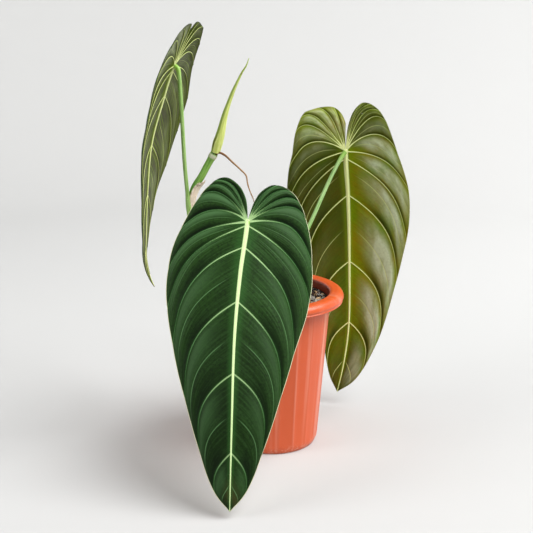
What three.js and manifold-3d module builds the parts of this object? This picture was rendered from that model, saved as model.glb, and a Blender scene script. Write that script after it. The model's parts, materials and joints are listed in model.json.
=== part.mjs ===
// A potted black gold philodendron, in millimetres, with +Z up and the pot standing on z = 0.
// Looking along +Y, one leaf hangs before the pot with its upper face forward, one hangs at the
// right behind the pot with its underside forward, and one at the left is nearly edge-on.
import * as THREE from "three";
import { mergeVertices } from "three/addons/utils/BufferGeometryUtils.js";
import Module from "manifold-3d";

const wasm = await Module();
wasm.setup();

// Gap left between solids that touch on the real plant.
const CLEARANCE = 0.3;

// Pot: a tapered plastic pot with shallow flutes, a hollow rolled rim and drain notches.
const POT_HEIGHT = 172;
const POT_BASE_RADIUS = 47.8;
const POT_FOOT_RADIUS = 49.8;
const POT_FOOT_HEIGHT = 5.5;
const POT_NECK_RADIUS = 62.5;
const POT_NECK_HEIGHT = 160;
const POT_WALL = 2;
const POT_FLOOR = 2.5;
const POT_SEGMENTS = 80;
const RIM_RADIUS = 77;
const RIM_WALL = 2.6;
const RIM_BOTTOM = 160.5;
const RIM_ROUNDING = 7;
const OPENING_RADIUS = 61.5;
const OPENING_ROUNDING = 5;
const FLUTE_COUNT = 20;
const FLUTE_FIRST_DEG = 8.5;
const FLUTE_HEIGHT = 0.35;
const NOTCH_COUNT = 4;
const NOTCH_WIDTH = 12;
const NOTCH_HEIGHT = 6;
const NOTCH_DEPTH = 9;
const NOTCH_FIRST_DEG = 256;

// Soil: a chunky mix whose surface lies below the rim.
const SOIL_TOP = 164;
const CHIP_COUNT = 68;
const CHIP_SMALL = 4.4;
const CHIP_LARGE = 7.6;
const CHIP_OCTAHEDRA_SHARE = 0.6;
const CHIP_FLATTEST = [0.7, 0.6];
const CHIP_RISE = 0.35;
const CHIP_SEED = 11;
const CORE_BELOW_TOP = 2;
const CORE_DOME = 1.5;

// Stem: its path from inside the soil to the pale top node, and its nodes as shares of that path.
const STEM_RADIUS = 3.8;
const STEM_NODE_SWELL = 0.8;
const STEM_NODE_LENGTH = 0.012;
const STEM_NODES = [0.249, 0.304, 0.716, 0.988];
const STEM_PATH = [
  [2, 5, 88],
  [1, 4, 120],
  [-1, 3, 149],
  [-9, 4, 165],
  [-27, 8, 183],
  [-51, 10, 202],
  [-73, 12, 223],
  [-85, 14, 242],
  [-88, 14, 258],
  [-86, 13, 269],
  [-82, 13, 281],
  [-75, 12, 292],
  [-69, 12, 303],
  [-61, 11, 317],
];

// Petioles: light green leaf stalks, from the axis of the stem to the base of each blade.
const PETIOLE_RADIUS = 2.1;
const PETIOLE_FOOT_RADIUS = 3.3;
const PETIOLE_TOP_SWELL = 0.35;
const PETIOLE_FOOT = [0.02, 0.2];
const PETIOLE_TOP = [0.9, 0.97];

// New leaf, aerial root and the dry remnant of a sheath on the upper stem.
const SPEAR_PATH = [
  [-60, 11, 318],
  [-58, 11, 326],
  [-54.5, 10.5, 337],
  [-49, 10, 359],
  [-41, 9, 381],
  [-36, 8, 392],
  [-31.5, 8, 401],
  [-27, 7, 408],
  [-24, 7, 416],
];
const SPEAR_RADII = [4.9, 5.5, 4.7, 3.8, 3.1, 2.4, 2.1, 1.6, 1.2, 0.9, 0.35];
const ROOT_PATH = [
  [-61, 10, 315],
  [-56, 8.5, 318],
  [-50, 6, 316],
  [-42, 4, 309],
  [-33, 2, 301],
  [-27.5, 1, 295],
  [-26, 0, 287],
  [-23.5, -1, 279],
  [-20.5, -2, 272],
  [-18.5, -3, 265],
];
const ROOT_RADIUS = 1.25;
const ROOT_TIP_RADIUS = 0.5;
const SHEATH_START = 0.745;
const SHEATH_END = 0.9;
const SHEATH_WALL = 0.7;
const SHEATH_FLARE = 1.6;
const SHEATH_SPAN_DEG = 190;
const SHEATH_NARROWING = 0.35;
const SHEATH_FACING = [0.9, -0.45, -0.2];

// Blades: about as thick as a stiff leaf, with a ridge along the midrib and veins underneath.
const BLADE_THICKNESS = 1.0;
const BLADE_EDGE_THICKNESS = 0.8;
const MIDRIB_RIDGE = 1.5;
const VEIN_RIDGE = 0.6;
const QUILT_HEIGHT = 3;
const QUILT_RISE = 0.45;
const QUILT_FALL_FROM = 0.75;
const QUILT_LOSS_AT_MARGIN = 0.7;
const QUILT_FADE_RAYS = [8, 11];
const QUILT_LOSS_AT_TIP = 0.6;
const QUILT_ROUNDNESS = 2.2;

// The outline of half a blade and how its veins run, as rays from the midrib to the margin. Places
// are shares of the midrib's length: root lies on the midrib, and out and along give the end on the
// margin. Start and end are the ray's headings in degrees, towards the tip from straight out.
// The first rays shape the lobe beside the notch, and the last is the tip. Each leaf's veins lie
// among them.
const RAYS = [
  { root: 0.0, start: -88, end: -78, out: 0.014, along: -0.098 },
  { root: 0.0, start: -80, end: -40, out: 0.058, along: -0.152 },
  { root: 0.0, start: -66, end: 14, out: 0.128, along: -0.134 },
  { root: 0.0, start: -50, end: 50, out: 0.184, along: -0.066 },
  { root: 0.0, start: -34, end: 58, out: 0.232, along: 0.045 },
  { root: 0.004, start: 2, end: 66, out: 0.252, along: 0.16 },
  { root: 0.014, start: 26, end: 80, out: 0.246, along: 0.28 },
  { root: 0.06, start: 28, end: 86, out: 0.215, along: 0.415 },
  { root: 0.25, start: 36, end: 92, out: 0.166, along: 0.595 },
  { root: 0.502, start: 34, end: 97, out: 0.107, along: 0.79 },
  { root: 0.775, start: 42, end: 98, out: 0.056, along: 0.928 },
  { root: 1.0, start: 89, end: 89, out: 0.0, along: 1.0 },
];
const NOTCH_RAYS = 2;
const TIP = RAYS.length - 1;
const RAY_START_REACH = 0.5;
const RAY_END_REACH = 0.4;
const MARGIN_SHARE = 0.25;

// How finely the tubes are divided, round and along.
const STEM_MESH = { sides: 10, steps: 54 };
const PETIOLE_MESH = { sides: 9, steps: 28 };
const SPEAR_MESH = { sides: 12, steps: 18 };
const ROOT_MESH = { sides: 6, steps: 28 };
const SHEATH_MESH = { round: 12, along: 9 };

// Where a blade's mesh is cut: beside the notch, between two veins, and along each ray.
const LOBE_CUTS = [0, 0.33, 0.67];
const VEIN_CUTS = [0, 0.12, 0.5, 0.88];
const RAY_CUTS = [0, 0.07, 0.22, 0.42, 0.63, 0.83, 1];

// Each leaf: the midrib as the lobes' reach, the petiole's joint, points along it and the tip, the
// upper face's directions at shares of the midrib, and what sets its two halves apart. The first
// value of a pair is the half at the right when the upper face is seen with the tip down.
// Fold, at shares of the midrib, and bend droop a half, lobe stretches its lobe, open spreads it,
// close draws its inner edge to the notch, full widens the half towards the tip, and veins counts in
// rays where the main veins of the half lie. Quilt scales how far the blade puffs up between veins,
// and puffs it down where it is negative.
const LEAVES = {
  front: {
    midrib: [
      [-23, -48, 304],
      [-25, -66, 262],
      [-32, -96, 215],
      [-37, -130, 161],
      [-39, -166, 92],
      [-41, -190, 8],
    ],
    facing: [
      [0.03, -0.9, 0.42],
      [0.03, -0.97, 0.22],
    ],
    facingAt: [0, 1],
    width: [1.05, 1.05],
    lobe: [0.86, 1.02],
    open: [0.14, 0],
    close: [0, -0.5],
    full: [0, 0],
    fold: [[6, 6], [6, 6]],
    foldAt: [0, 1],
    bend: [20, 20],
    quilt: 1,
    veins: [
      [1.3, 2.0, 2.7, 3.25, 4.45, 5.8, 7.3, 8.17, 9.17, 10.12],
      [1.7, 2.2, 2.8, 4.0, 5.25, 6.35, 7.2, 8.2, 9.12, 10.12],
    ],
    petiole: [
      [-11, 4, 168],
      [-13, -5, 184],
      [-17, -22, 215],
      [-21, -41, 240],
      [-24, -56, 254],
      [-25.2, -67, 260.5],
    ],
  },
  right: {
    midrib: [
      [82, 62, 367],
      [81, 66, 311],
      [86, 80, 253],
      [90, 92, 170],
      [90, 92, 89],
      [78, 88, 17],
    ],
    facing: [
      [0.05, 0.95, 0.25],
      [0.1, 0.99, 0.05],
    ],
    facingAt: [0, 1],
    width: [0.92, 0.9],
    lobe: [1.05, 1.2],
    open: [0.26, 0.01],
    close: [0.95, 0],
    full: [0, 0.22],
    fold: [[3, 6], [3, 6]],
    foldAt: [0, 1],
    bend: [12, 18],
    quilt: -1,
    veins: [
      [1.0, 1.6, 2.35, 3.0, 4.0, 5.3, 6.7, 7.77, 8.8, 9.75],
      [1.0, 1.5, 2.05, 2.6, 3.55, 4.9, 6.55, 7.6, 8.85, 9.72],
    ],
    petiole: [
      [-2, 3.5, 154],
      [3, 9, 162],
      [19.5, 22, 191],
      [45, 43, 241],
      [61.5, 56, 276],
      [74.5, 62, 301],
      [80.5, 65, 309.5],
    ],
  },
  left: {
    midrib: [
      [-70, 2, 466],
      [-101, 10, 409],
      [-116, 20, 368],
      [-129, 28, 324],
      [-135, 32, 274],
      [-138, 33, 226],
      [-138.5, 32, 193],
      [-130, 30, 165],
    ],
    facing: [
      [-0.97, 0.25, 0.15],
      [-0.97, 0.26, 0.1],
      [-0.99, 0.16, 0],
      [-1, 0.02, 0],
    ],
    facingAt: [-0.2, 0.25, 0.62, 1],
    width: [0.98, 0.93],
    lobe: [1.22, 1.28],
    open: [-0.02, -0.02],
    close: [0.8, 0.8],
    full: [-0.1, 0.16],
    fold: [[-4, 3], [-4, -1], [0, 2], [2, 2], [2, -6], [-1, -10]],
    foldAt: [-0.2, 0.05, 0.25, 0.45, 0.65, 1],
    bend: [21, 15],
    quilt: 0.8,
    veins: [
      [1.2, 2.0, 2.9, 3.9, 5.2, 6.5, 7.5, 8.5, 9.3, 10.2],
      [1.3, 2.0, 3.0, 3.9, 5.3, 6.5, 7.48, 8.45, 9.3, 10.2],
    ],
    petiole: [
      [-86.5, 13.5, 247],
      [-89, 10, 260],
      [-90, 8.5, 276],
      [-92, 8, 304],
      [-94.5, 8, 370],
      [-96, 8, 398],
      [-97.3, 8.5, 405.2],
      [-100.2, 9.9, 407.7],
    ],
  },
};

// A seeded random number from 0 to 1, the same on every run.
function seededRandom(seed) {
  let state = seed;
  return () => {
    state = (Math.imul(state, 1664525) + 1013904223) >>> 0;
    return state / 4294967296;
  };
}

// The solid of a closed geometry, with shared vertices merged and collapsed triangles dropped.
function solidFrom(geometry) {
  geometry.deleteAttribute("normal");
  geometry.deleteAttribute("uv");
  const merged = mergeVertices(geometry, 1e-4);
  const index = merged.index.array;
  const triVerts = [];
  for (let i = 0; i < index.length; i += 3) {
    const [a, b, c] = index.slice(i, i + 3);
    if (a !== b && b !== c && c !== a) triVerts.push(a, b, c);
  }
  return new wasm.Manifold(
    new wasm.Mesh({
      numProp: 3,
      vertProperties: merged.attributes.position.array,
      triVerts: new Uint32Array(triVerts),
    }),
  );
}

// The geometry of a solid's largest body: what a cut leaves loose is dropped.
function geometryFrom(solid) {
  const bodies = solid.decompose().sort((a, b) => b.volume() - a.volume());
  const mesh = bodies[0].getMesh();
  const geometry = new THREE.BufferGeometry();
  geometry.setAttribute("position", new THREE.BufferAttribute(mesh.vertProperties, 3));
  geometry.setIndex(new THREE.BufferAttribute(mesh.triVerts, 1));
  geometry.computeVertexNormals();
  return geometry;
}

// A value on a smooth curve through values at knots, for numbers or vectors as arrays.
function hermite(values, knots, t) {
  const last = values.length - 1;
  let i = 0;
  while (i < last - 1 && t > knots[i + 1]) i += 1;
  const span = knots[i + 1] - knots[i];
  const s = (t - knots[i]) / span;
  const chord = (a, axis) => (values[a + 1][axis] - values[a][axis]) / (knots[a + 1] - knots[a]);
  const inner = (a, axis) =>
    (values[a + 1][axis] - values[a - 1][axis]) / (knots[a + 1] - knots[a - 1]);
  const slope = (a, axis) => {
    if (last === 1) return chord(0, axis);
    if (a === 0) return 2 * chord(0, axis) - inner(1, axis);
    if (a === last) return 2 * chord(last - 1, axis) - inner(last - 1, axis);
    return inner(a, axis);
  };
  return values[i].map(
    (_, axis) =>
      (2 * s ** 3 - 3 * s ** 2 + 1) * values[i][axis] +
      (s ** 3 - 2 * s ** 2 + s) * span * slope(i, axis) +
      (3 * s ** 2 - 2 * s ** 3) * values[i + 1][axis] +
      (s ** 3 - s ** 2) * span * slope(i + 1, axis),
  );
}

// A ray between its neighbours: q counts rays from the notch to the tip.
function rayAt(q) {
  const i = Math.min(Math.floor(q), TIP - 1);
  const s = q - i;
  const ray = {};
  for (const key of ["root", "start", "end", "out", "along"]) {
    const b = RAYS[i][key];
    const c = RAYS[i + 1][key];
    let a = i > 0 ? RAYS[i - 1][key] : 2 * b - c;
    if (i === 0 && key === "out") a = c;
    const d = i + 2 <= TIP ? RAYS[i + 2][key] : 2 * c - b;
    ray[key] =
      0.5 * (2 * b + (c - a) * s + (2 * a - 5 * b + 4 * c - d) * s ** 2 + (3 * b - a - 3 * c + d) * s ** 3);
  }
  ray.root = Math.max(ray.root, 0);
  return ray;
}

// The place of v, the share of the way along ray q from its root, on the flat half blade.
function flatPlace(q, v, root) {
  const ray = rayAt(q);
  const span = Math.hypot(ray.out, ray.along - root);
  const start = THREE.MathUtils.degToRad(ray.start);
  const end = THREE.MathUtils.degToRad(ray.end);
  const curve = new THREE.CubicBezierCurve(
    new THREE.Vector2(0, root),
    new THREE.Vector2(Math.cos(start), Math.sin(start))
      .multiplyScalar(RAY_START_REACH * span)
      .add(new THREE.Vector2(0, root)),
    new THREE.Vector2(-Math.cos(end), -Math.sin(end))
      .multiplyScalar(RAY_END_REACH * span)
      .add(new THREE.Vector2(ray.out, ray.along)),
    new THREE.Vector2(ray.out, ray.along),
  );
  return curve.getPoint(v);
}

// How far the blade puffs up between its veins, on a leaf whose quilting is 1.
function quilting({ q, panel, across }, v) {
  const puff = panel > 0 ? 1 - Math.abs(2 * across - 1) ** QUILT_ROUNDNESS : Math.sin(Math.PI * across);
  const rise = THREE.MathUtils.smoothstep(v, 0, QUILT_RISE);
  const margin = 1 - QUILT_LOSS_AT_MARGIN * THREE.MathUtils.smoothstep(v, QUILT_FALL_FROM, 1);
  const towardsTip = 1 - QUILT_LOSS_AT_TIP * THREE.MathUtils.smoothstep(q, ...QUILT_FADE_RAYS);
  return QUILT_HEIGHT * puff * rise * margin * towardsTip;
}

// The midrib of a leaf with knots at the shares of its length: 0 at the petiole, 1 at the tip.
function midribOf(leaf) {
  const reach = [0];
  for (let i = 1; i < leaf.midrib.length; i += 1) {
    const from = new THREE.Vector3(...leaf.midrib[i - 1]);
    reach.push(reach[i - 1] + from.distanceTo(new THREE.Vector3(...leaf.midrib[i])));
  }
  const length = reach.at(-1) - reach[1];
  return { length, knots: reach.map((r) => (r - reach[1]) / length) };
}

// A point of the blade's middle surface and the direction of its upper face there.
function bladePoint(leaf, spine, side, row, v) {
  const half = side > 0 ? 0 : 1;
  const flat = flatPlace(row.q, v, row.root);
  let along = flat.y;
  let out = flat.x * leaf.width[half] * (1 + leaf.full[half] * Math.max(along, 0));
  if (along < 0) {
    along *= leaf.lobe[half];
    out -= leaf.open[half] * along;
  }
  if (row.q < NOTCH_RAYS) out *= 1 - leaf.close[half] * (1 - row.q / NOTCH_RAYS);
  const point = new THREE.Vector3(...hermite(leaf.midrib, spine.knots, along));
  const ahead = new THREE.Vector3(...hermite(leaf.midrib, spine.knots, along + 0.001));
  const behind = new THREE.Vector3(...hermite(leaf.midrib, spine.knots, along - 0.001));
  const tangent = ahead.sub(behind).normalize();
  const up = new THREE.Vector3(...hermite(leaf.facing, leaf.facingAt, along));
  up.addScaledVector(tangent, -up.dot(tangent)).normalize();
  const across = new THREE.Vector3().crossVectors(up, tangent).multiplyScalar(side);
  const fold = -THREE.MathUtils.degToRad(hermite(leaf.fold, leaf.foldAt, along)[half]);
  const turn = -THREE.MathUtils.degToRad(leaf.bend[half]) / MARGIN_SHARE;
  const angle = fold + turn * out;
  point.addScaledVector(across, (spine.length * (Math.sin(angle) - Math.sin(fold))) / turn);
  point.addScaledVector(up, (-spine.length * (Math.cos(angle) - Math.cos(fold))) / turn);
  const normal = up.clone();
  if (v > 0 && row.q < TIP) normal.multiplyScalar(Math.cos(angle)).addScaledVector(across, -Math.sin(angle));
  point.addScaledVector(normal, leaf.quilt * quilting(row, v));
  return { point, normal };
}

// The mesh rows of both halves of a blade: the place counted in rays, the panel between two veins
// and the share across it, and the root on the midrib, which the two halves share.
function bladeRows(leaf) {
  const halves = leaf.veins.map((veins) => {
    const edges = [0, ...veins, TIP];
    const rows = [];
    for (let panel = 0; panel < edges.length - 1; panel += 1) {
      for (const across of panel > 0 ? VEIN_CUTS : LOBE_CUTS) {
        rows.push({ q: THREE.MathUtils.lerp(edges[panel], edges[panel + 1], across), panel, across });
      }
    }
    rows.push({ q: TIP, panel: edges.length - 2, across: 1 });
    return rows;
  });
  halves[0].forEach((row, i) => {
    const other = halves[1][i];
    row.root = (rayAt(row.q).root + rayAt(other.q).root) / 2;
    other.root = row.root;
  });
  return halves;
}

// A blade as one closed solid. Extra thickens it all round, for cutting what comes close to it.
function bladeSolid(leaf, extra = 0) {
  const spine = midribOf(leaf);
  const halves = bladeRows(leaf);
  const positions = [];
  const addTriangle = (turned, a, b, c) => {
    const corners = turned ? [a, c, b] : [a, b, c];
    corners.forEach((corner) => positions.push(...corner.toArray()));
  };
  const addQuad = (turned, a, b, c, d) => {
    addTriangle(turned, a, b, c);
    addTriangle(turned, a, c, d);
  };
  for (const side of [1, -1]) {
    const turned = side < 0;
    const rows = halves[turned ? 1 : 0];
    const upper = [];
    const under = [];
    for (const row of rows) {
      const onVein = row.panel > 0 && row.across === 0;
      const surface = RAY_CUTS.map((v) => {
        const { point, normal } = bladePoint(leaf, spine, side, row, v);
        const edgeShare = row.q < TIP ? v : 1;
        const half = THREE.MathUtils.lerp(BLADE_THICKNESS, BLADE_EDGE_THICKNESS, edgeShare) / 2 + extra;
        let ridge = 0;
        if (edgeShare === 0) ridge = MIDRIB_RIDGE * (1 - 0.8 * row.root);
        else if (onVein) ridge = VEIN_RIDGE * (1 - v);
        return {
          top: point.clone().addScaledVector(normal, half),
          bottom: point.clone().addScaledVector(normal, -half - ridge),
        };
      });
      upper.push(surface.map((s) => s.top));
      under.push(surface.map((s) => s.bottom));
    }
    const lastCut = RAY_CUTS.length - 1;
    for (let i = 0; i < rows.length - 1; i += 1) {
      for (let j = 0; j < lastCut; j += 1) {
        addQuad(turned, upper[i][j], upper[i + 1][j], upper[i + 1][j + 1], upper[i][j + 1]);
        addQuad(!turned, under[i][j], under[i + 1][j], under[i + 1][j + 1], under[i][j + 1]);
      }
      addQuad(turned, upper[i][lastCut], upper[i + 1][lastCut], under[i + 1][lastCut], under[i][lastCut]);
    }
    for (let j = 0; j < lastCut; j += 1) {
      addQuad(turned, upper[0][j], upper[0][j + 1], under[0][j + 1], under[0][j]);
    }
  }
  const geometry = new THREE.BufferGeometry();
  geometry.setAttribute("position", new THREE.BufferAttribute(new Float32Array(positions), 3));
  return solidFrom(geometry);
}

// A closed tube along a smooth path, with a radius for each share of the way.
function tubeSolid(path, radiusAt, { sides, steps }) {
  const curve = new THREE.CatmullRomCurve3(path.map((p) => new THREE.Vector3(...p)));
  const frames = curve.computeFrenetFrames(steps, false);
  const positions = [];
  const index = [];
  for (let i = 0; i <= steps; i += 1) {
    const share = i / steps;
    const centre = curve.getPointAt(share);
    for (let k = 0; k < sides; k += 1) {
      const angle = (2 * Math.PI * k) / sides;
      const corner = centre
        .clone()
        .addScaledVector(frames.normals[i], radiusAt(share) * Math.cos(angle))
        .addScaledVector(frames.binormals[i], radiusAt(share) * Math.sin(angle));
      positions.push(...corner.toArray());
    }
  }
  for (let i = 0; i < steps; i += 1) {
    for (let k = 0; k < sides; k += 1) {
      const a = i * sides + k;
      const b = i * sides + ((k + 1) % sides);
      index.push(a, b, b + sides, a, b + sides, a + sides);
    }
  }
  const firstCap = positions.length / 3;
  positions.push(...curve.getPointAt(0).toArray(), ...curve.getPointAt(1).toArray());
  const top = steps * sides;
  for (let k = 0; k < sides; k += 1) {
    const next = (k + 1) % sides;
    index.push(firstCap, next, k, firstCap + 1, top + k, top + next);
  }
  const geometry = new THREE.BufferGeometry();
  geometry.setAttribute("position", new THREE.BufferAttribute(new Float32Array(positions), 3));
  geometry.setIndex(index);
  return solidFrom(geometry);
}

// A value read off a list spread evenly from 0 to 1.
function fromList(values, share) {
  const place = share * (values.length - 1);
  const i = Math.min(Math.floor(place), values.length - 2);
  return THREE.MathUtils.lerp(values[i], values[i + 1], place - i);
}

// A profile of [radius, height] points turned round the upright axis.
function turnedGeometry(profile, segments) {
  const points = profile.map(([radius, height]) => new THREE.Vector2(radius, height));
  return new THREE.LatheGeometry(points, segments).rotateX(Math.PI / 2);
}

// The radius of the pot's inside at a height.
function potInside(height) {
  const slope = (POT_NECK_RADIUS - POT_FOOT_RADIUS) / (POT_NECK_HEIGHT - POT_FOOT_HEIGHT);
  return POT_FOOT_RADIUS + slope * (height - POT_FOOT_HEIGHT) - POT_WALL;
}

function potSolid() {
  const shoulder = POT_HEIGHT - OPENING_ROUNDING;
  const rimMiddle = POT_HEIGHT - RIM_ROUNDING;
  const profile = [
    [0, 0],
    [POT_BASE_RADIUS - 1, 0],
    [POT_BASE_RADIUS, 0.8],
    [POT_FOOT_RADIUS, POT_FOOT_HEIGHT],
    [POT_NECK_RADIUS, POT_NECK_HEIGHT],
    [POT_NECK_RADIUS + 1, shoulder],
    [RIM_RADIUS - RIM_ROUNDING, POT_HEIGHT - 1.5 * RIM_WALL],
    [RIM_RADIUS - 1.5 * RIM_WALL, rimMiddle],
    [RIM_RADIUS - 1.4 * RIM_WALL, RIM_BOTTOM],
    [RIM_RADIUS - 0.5 * RIM_WALL, RIM_BOTTOM],
    [RIM_RADIUS - 0.35 * RIM_WALL, RIM_BOTTOM + 1.6],
    [RIM_RADIUS, rimMiddle],
    [RIM_RADIUS - 0.17 * RIM_ROUNDING, POT_HEIGHT - 0.5 * RIM_ROUNDING],
    [RIM_RADIUS - 0.65 * RIM_ROUNDING, POT_HEIGHT - 0.13 * RIM_ROUNDING],
    [RIM_RADIUS - 1.3 * RIM_ROUNDING, POT_HEIGHT],
    [OPENING_RADIUS + 0.4 * OPENING_ROUNDING, POT_HEIGHT - 0.08 * OPENING_ROUNDING],
    [OPENING_RADIUS, POT_HEIGHT - 0.36 * OPENING_ROUNDING],
    [potInside(shoulder), shoulder],
    [potInside(POT_FLOOR), POT_FLOOR],
    [0, POT_FLOOR],
  ];
  const geometry = turnedGeometry(profile, POT_SEGMENTS);
  const position = geometry.getAttribute("position");
  for (let i = 0; i < position.count; i += 1) {
    const [x, y, z] = [position.getX(i), position.getY(i), position.getZ(i)];
    const radius = Math.hypot(x, y);
    const onWall = z > POT_FLOOR && z < RIM_BOTTOM && radius > potInside(z) + POT_WALL / 2;
    if (onWall) {
      const turn = Math.atan2(y, x) - THREE.MathUtils.degToRad(FLUTE_FIRST_DEG);
      const grown = 1 + (FLUTE_HEIGHT * Math.cos(FLUTE_COUNT * turn)) / radius;
      position.setXY(i, x * grown, y * grown);
    }
  }
  let pot = solidFrom(geometry);
  const arch = new THREE.Shape();
  const half = NOTCH_WIDTH / 2;
  arch.moveTo(-half, -1);
  arch.lineTo(half, -1);
  arch.lineTo(half, NOTCH_HEIGHT / 3);
  arch.quadraticCurveTo(half, NOTCH_HEIGHT, 0, NOTCH_HEIGHT);
  arch.quadraticCurveTo(-half, NOTCH_HEIGHT, -half, NOTCH_HEIGHT / 3);
  for (let k = 0; k < NOTCH_COUNT; k += 1) {
    const cutter = new THREE.ExtrudeGeometry(arch, {
      depth: NOTCH_DEPTH,
      bevelEnabled: false,
      curveSegments: 5,
    });
    cutter.rotateX(Math.PI / 2);
    cutter.rotateZ(Math.PI / 2);
    cutter.translate(POT_FOOT_RADIUS + 2 - NOTCH_DEPTH, 0, 0);
    cutter.rotateZ(THREE.MathUtils.degToRad(NOTCH_FIRST_DEG + (360 / NOTCH_COUNT) * k));
    pot = pot.subtract(solidFrom(cutter));
  }
  return pot;
}

function stemSolid(extra = 0) {
  const radiusAt = (share) => {
    const swell = STEM_NODES.map((node) => Math.exp(-(((share - node) / STEM_NODE_LENGTH) ** 2)));
    return STEM_RADIUS + STEM_NODE_SWELL * Math.max(...swell) + extra;
  };
  return tubeSolid(STEM_PATH, radiusAt, STEM_MESH);
}

function petioleTube(leaf, extra = 0) {
  const radiusAt = (share) =>
    PETIOLE_RADIUS +
    (PETIOLE_FOOT_RADIUS - PETIOLE_RADIUS) * (1 - THREE.MathUtils.smoothstep(share, ...PETIOLE_FOOT)) +
    PETIOLE_TOP_SWELL * THREE.MathUtils.smoothstep(share, ...PETIOLE_TOP) +
    extra;
  return tubeSolid(leaf.petiole, radiusAt, PETIOLE_MESH);
}

// A petiole seated on the stem at its foot and under its blade at its top.
function petioleSolid(leaf) {
  return petioleTube(leaf).subtract(stemSolid(CLEARANCE)).subtract(bladeSolid(leaf, CLEARANCE));
}

function spearTube(extra = 0) {
  return tubeSolid(SPEAR_PATH, (share) => fromList(SPEAR_RADII, share) + extra, SPEAR_MESH);
}

function spearSolid() {
  return spearTube().subtract(stemSolid(CLEARANCE));
}

function rootSolid() {
  const radiusAt = (share) => THREE.MathUtils.lerp(ROOT_RADIUS, ROOT_TIP_RADIUS, share);
  return tubeSolid(ROOT_PATH, radiusAt, ROOT_MESH)
    .subtract(stemSolid(CLEARANCE))
    .subtract(spearTube(CLEARANCE));
}

// The dry sheath: a thin curved skin round one side of the stem, flaring at its upper edge.
function sheathSolid() {
  const curve = new THREE.CatmullRomCurve3(STEM_PATH.map((p) => new THREE.Vector3(...p)));
  const { round: roundSteps, along: lengthSteps } = SHEATH_MESH;
  const rings = [];
  for (let i = 0; i <= lengthSteps; i += 1) {
    const share = i / lengthSteps;
    const u = THREE.MathUtils.lerp(SHEATH_START, SHEATH_END, share);
    const centre = curve.getPointAt(u);
    const tangent = curve.getTangentAt(u);
    const facing = new THREE.Vector3(...SHEATH_FACING);
    facing.addScaledVector(tangent, -facing.dot(tangent)).normalize();
    const sideways = new THREE.Vector3().crossVectors(tangent, facing);
    const span = THREE.MathUtils.degToRad(SHEATH_SPAN_DEG) * (1 - SHEATH_NARROWING * share ** 2);
    const radius = STEM_RADIUS + 2 * CLEARANCE + SHEATH_FLARE * share ** 2;
    const ring = [];
    for (let k = 0; k <= roundSteps; k += 1) {
      const angle = span * (k / roundSteps - 0.5);
      const direction = facing
        .clone()
        .multiplyScalar(Math.cos(angle))
        .addScaledVector(sideways, Math.sin(angle));
      ring.push([radius, radius + SHEATH_WALL].map((r) => centre.clone().addScaledVector(direction, r)));
    }
    rings.push(ring);
  }
  const positions = [];
  const addQuad = (a, b, c, d) => {
    for (const corner of [a, b, c, a, c, d]) positions.push(...corner.toArray());
  };
  for (let i = 0; i < lengthSteps; i += 1) {
    for (let k = 0; k < roundSteps; k += 1) {
      const corners = [rings[i][k], rings[i][k + 1], rings[i + 1][k + 1], rings[i + 1][k]];
      addQuad(...corners.map((c) => c[1]));
      addQuad(...corners.map((c) => c[0]).reverse());
    }
    for (const [k, nearer] of [[0, 1], [roundSteps, 0]]) {
      const [low, high] = [rings[i][k], rings[i + 1][k]];
      addQuad(low[1 - nearer], low[nearer], high[nearer], high[1 - nearer]);
    }
  }
  for (let k = 0; k < roundSteps; k += 1) {
    const [first, last] = [rings[0], rings[lengthSteps]];
    addQuad(first[k][0], first[k + 1][0], first[k + 1][1], first[k][1]);
    addQuad(last[k][1], last[k + 1][1], last[k + 1][0], last[k][0]);
  }
  const geometry = new THREE.BufferGeometry();
  geometry.setAttribute("position", new THREE.BufferAttribute(new Float32Array(positions), 3));
  return solidFrom(geometry).subtract(stemSolid(CLEARANCE)).subtract(petioleTube(LEAVES.left, CLEARANCE));
}

// The soil: a core that fills the pot, with angular chips fused to its top, inside the pot's wall.
function soilSolid() {
  const bottom = POT_FLOOR + CLEARANCE;
  const shoulder = POT_HEIGHT - OPENING_ROUNDING;
  const envelope = solidFrom(
    turnedGeometry(
      [
        [0, bottom],
        [potInside(bottom) - CLEARANCE, bottom],
        [potInside(shoulder) - CLEARANCE, shoulder],
        [0, shoulder],
      ],
      POT_SEGMENTS / 2,
    ),
  );
  const coreTop = SOIL_TOP - CORE_BELOW_TOP;
  let soil = solidFrom(
    turnedGeometry(
      [
        [0, bottom - 1],
        [POT_NECK_RADIUS, bottom - 1],
        [POT_NECK_RADIUS, coreTop],
        [0, coreTop + CORE_DOME],
      ],
      POT_SEGMENTS / 2,
    ),
  );
  const random = seededRandom(CHIP_SEED);
  const goldenAngle = Math.PI * (3 - Math.sqrt(5));
  const reach = potInside(SOIL_TOP) - CHIP_SMALL;
  for (let k = 0; k < CHIP_COUNT; k += 1) {
    const size = THREE.MathUtils.lerp(CHIP_SMALL, CHIP_LARGE, random() ** 1.5);
    const Shape = random() < CHIP_OCTAHEDRA_SHARE ? THREE.OctahedronGeometry : THREE.IcosahedronGeometry;
    const chip = new Shape(size);
    const [across, deep] = CHIP_FLATTEST;
    chip.scale(1, THREE.MathUtils.lerp(across, 1, random()), THREE.MathUtils.lerp(deep, 1, random()));
    chip.rotateX(Math.PI * random());
    chip.rotateY(Math.PI * random());
    chip.rotateZ(Math.PI * random());
    const radius = reach * Math.sqrt((k + 0.5) / CHIP_COUNT);
    const angle = goldenAngle * k + 0.3 * random();
    const height = coreTop + CHIP_RISE * size * random();
    chip.translate(radius * Math.cos(angle), radius * Math.sin(angle), height);
    soil = soil.add(solidFrom(chip));
  }
  return soil
    .intersect(envelope)
    .subtract(stemSolid(CLEARANCE))
    .subtract(petioleTube(LEAVES.front, CLEARANCE))
    .subtract(petioleTube(LEAVES.right, CLEARANCE));
}

const group = new THREE.Group();

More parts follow.
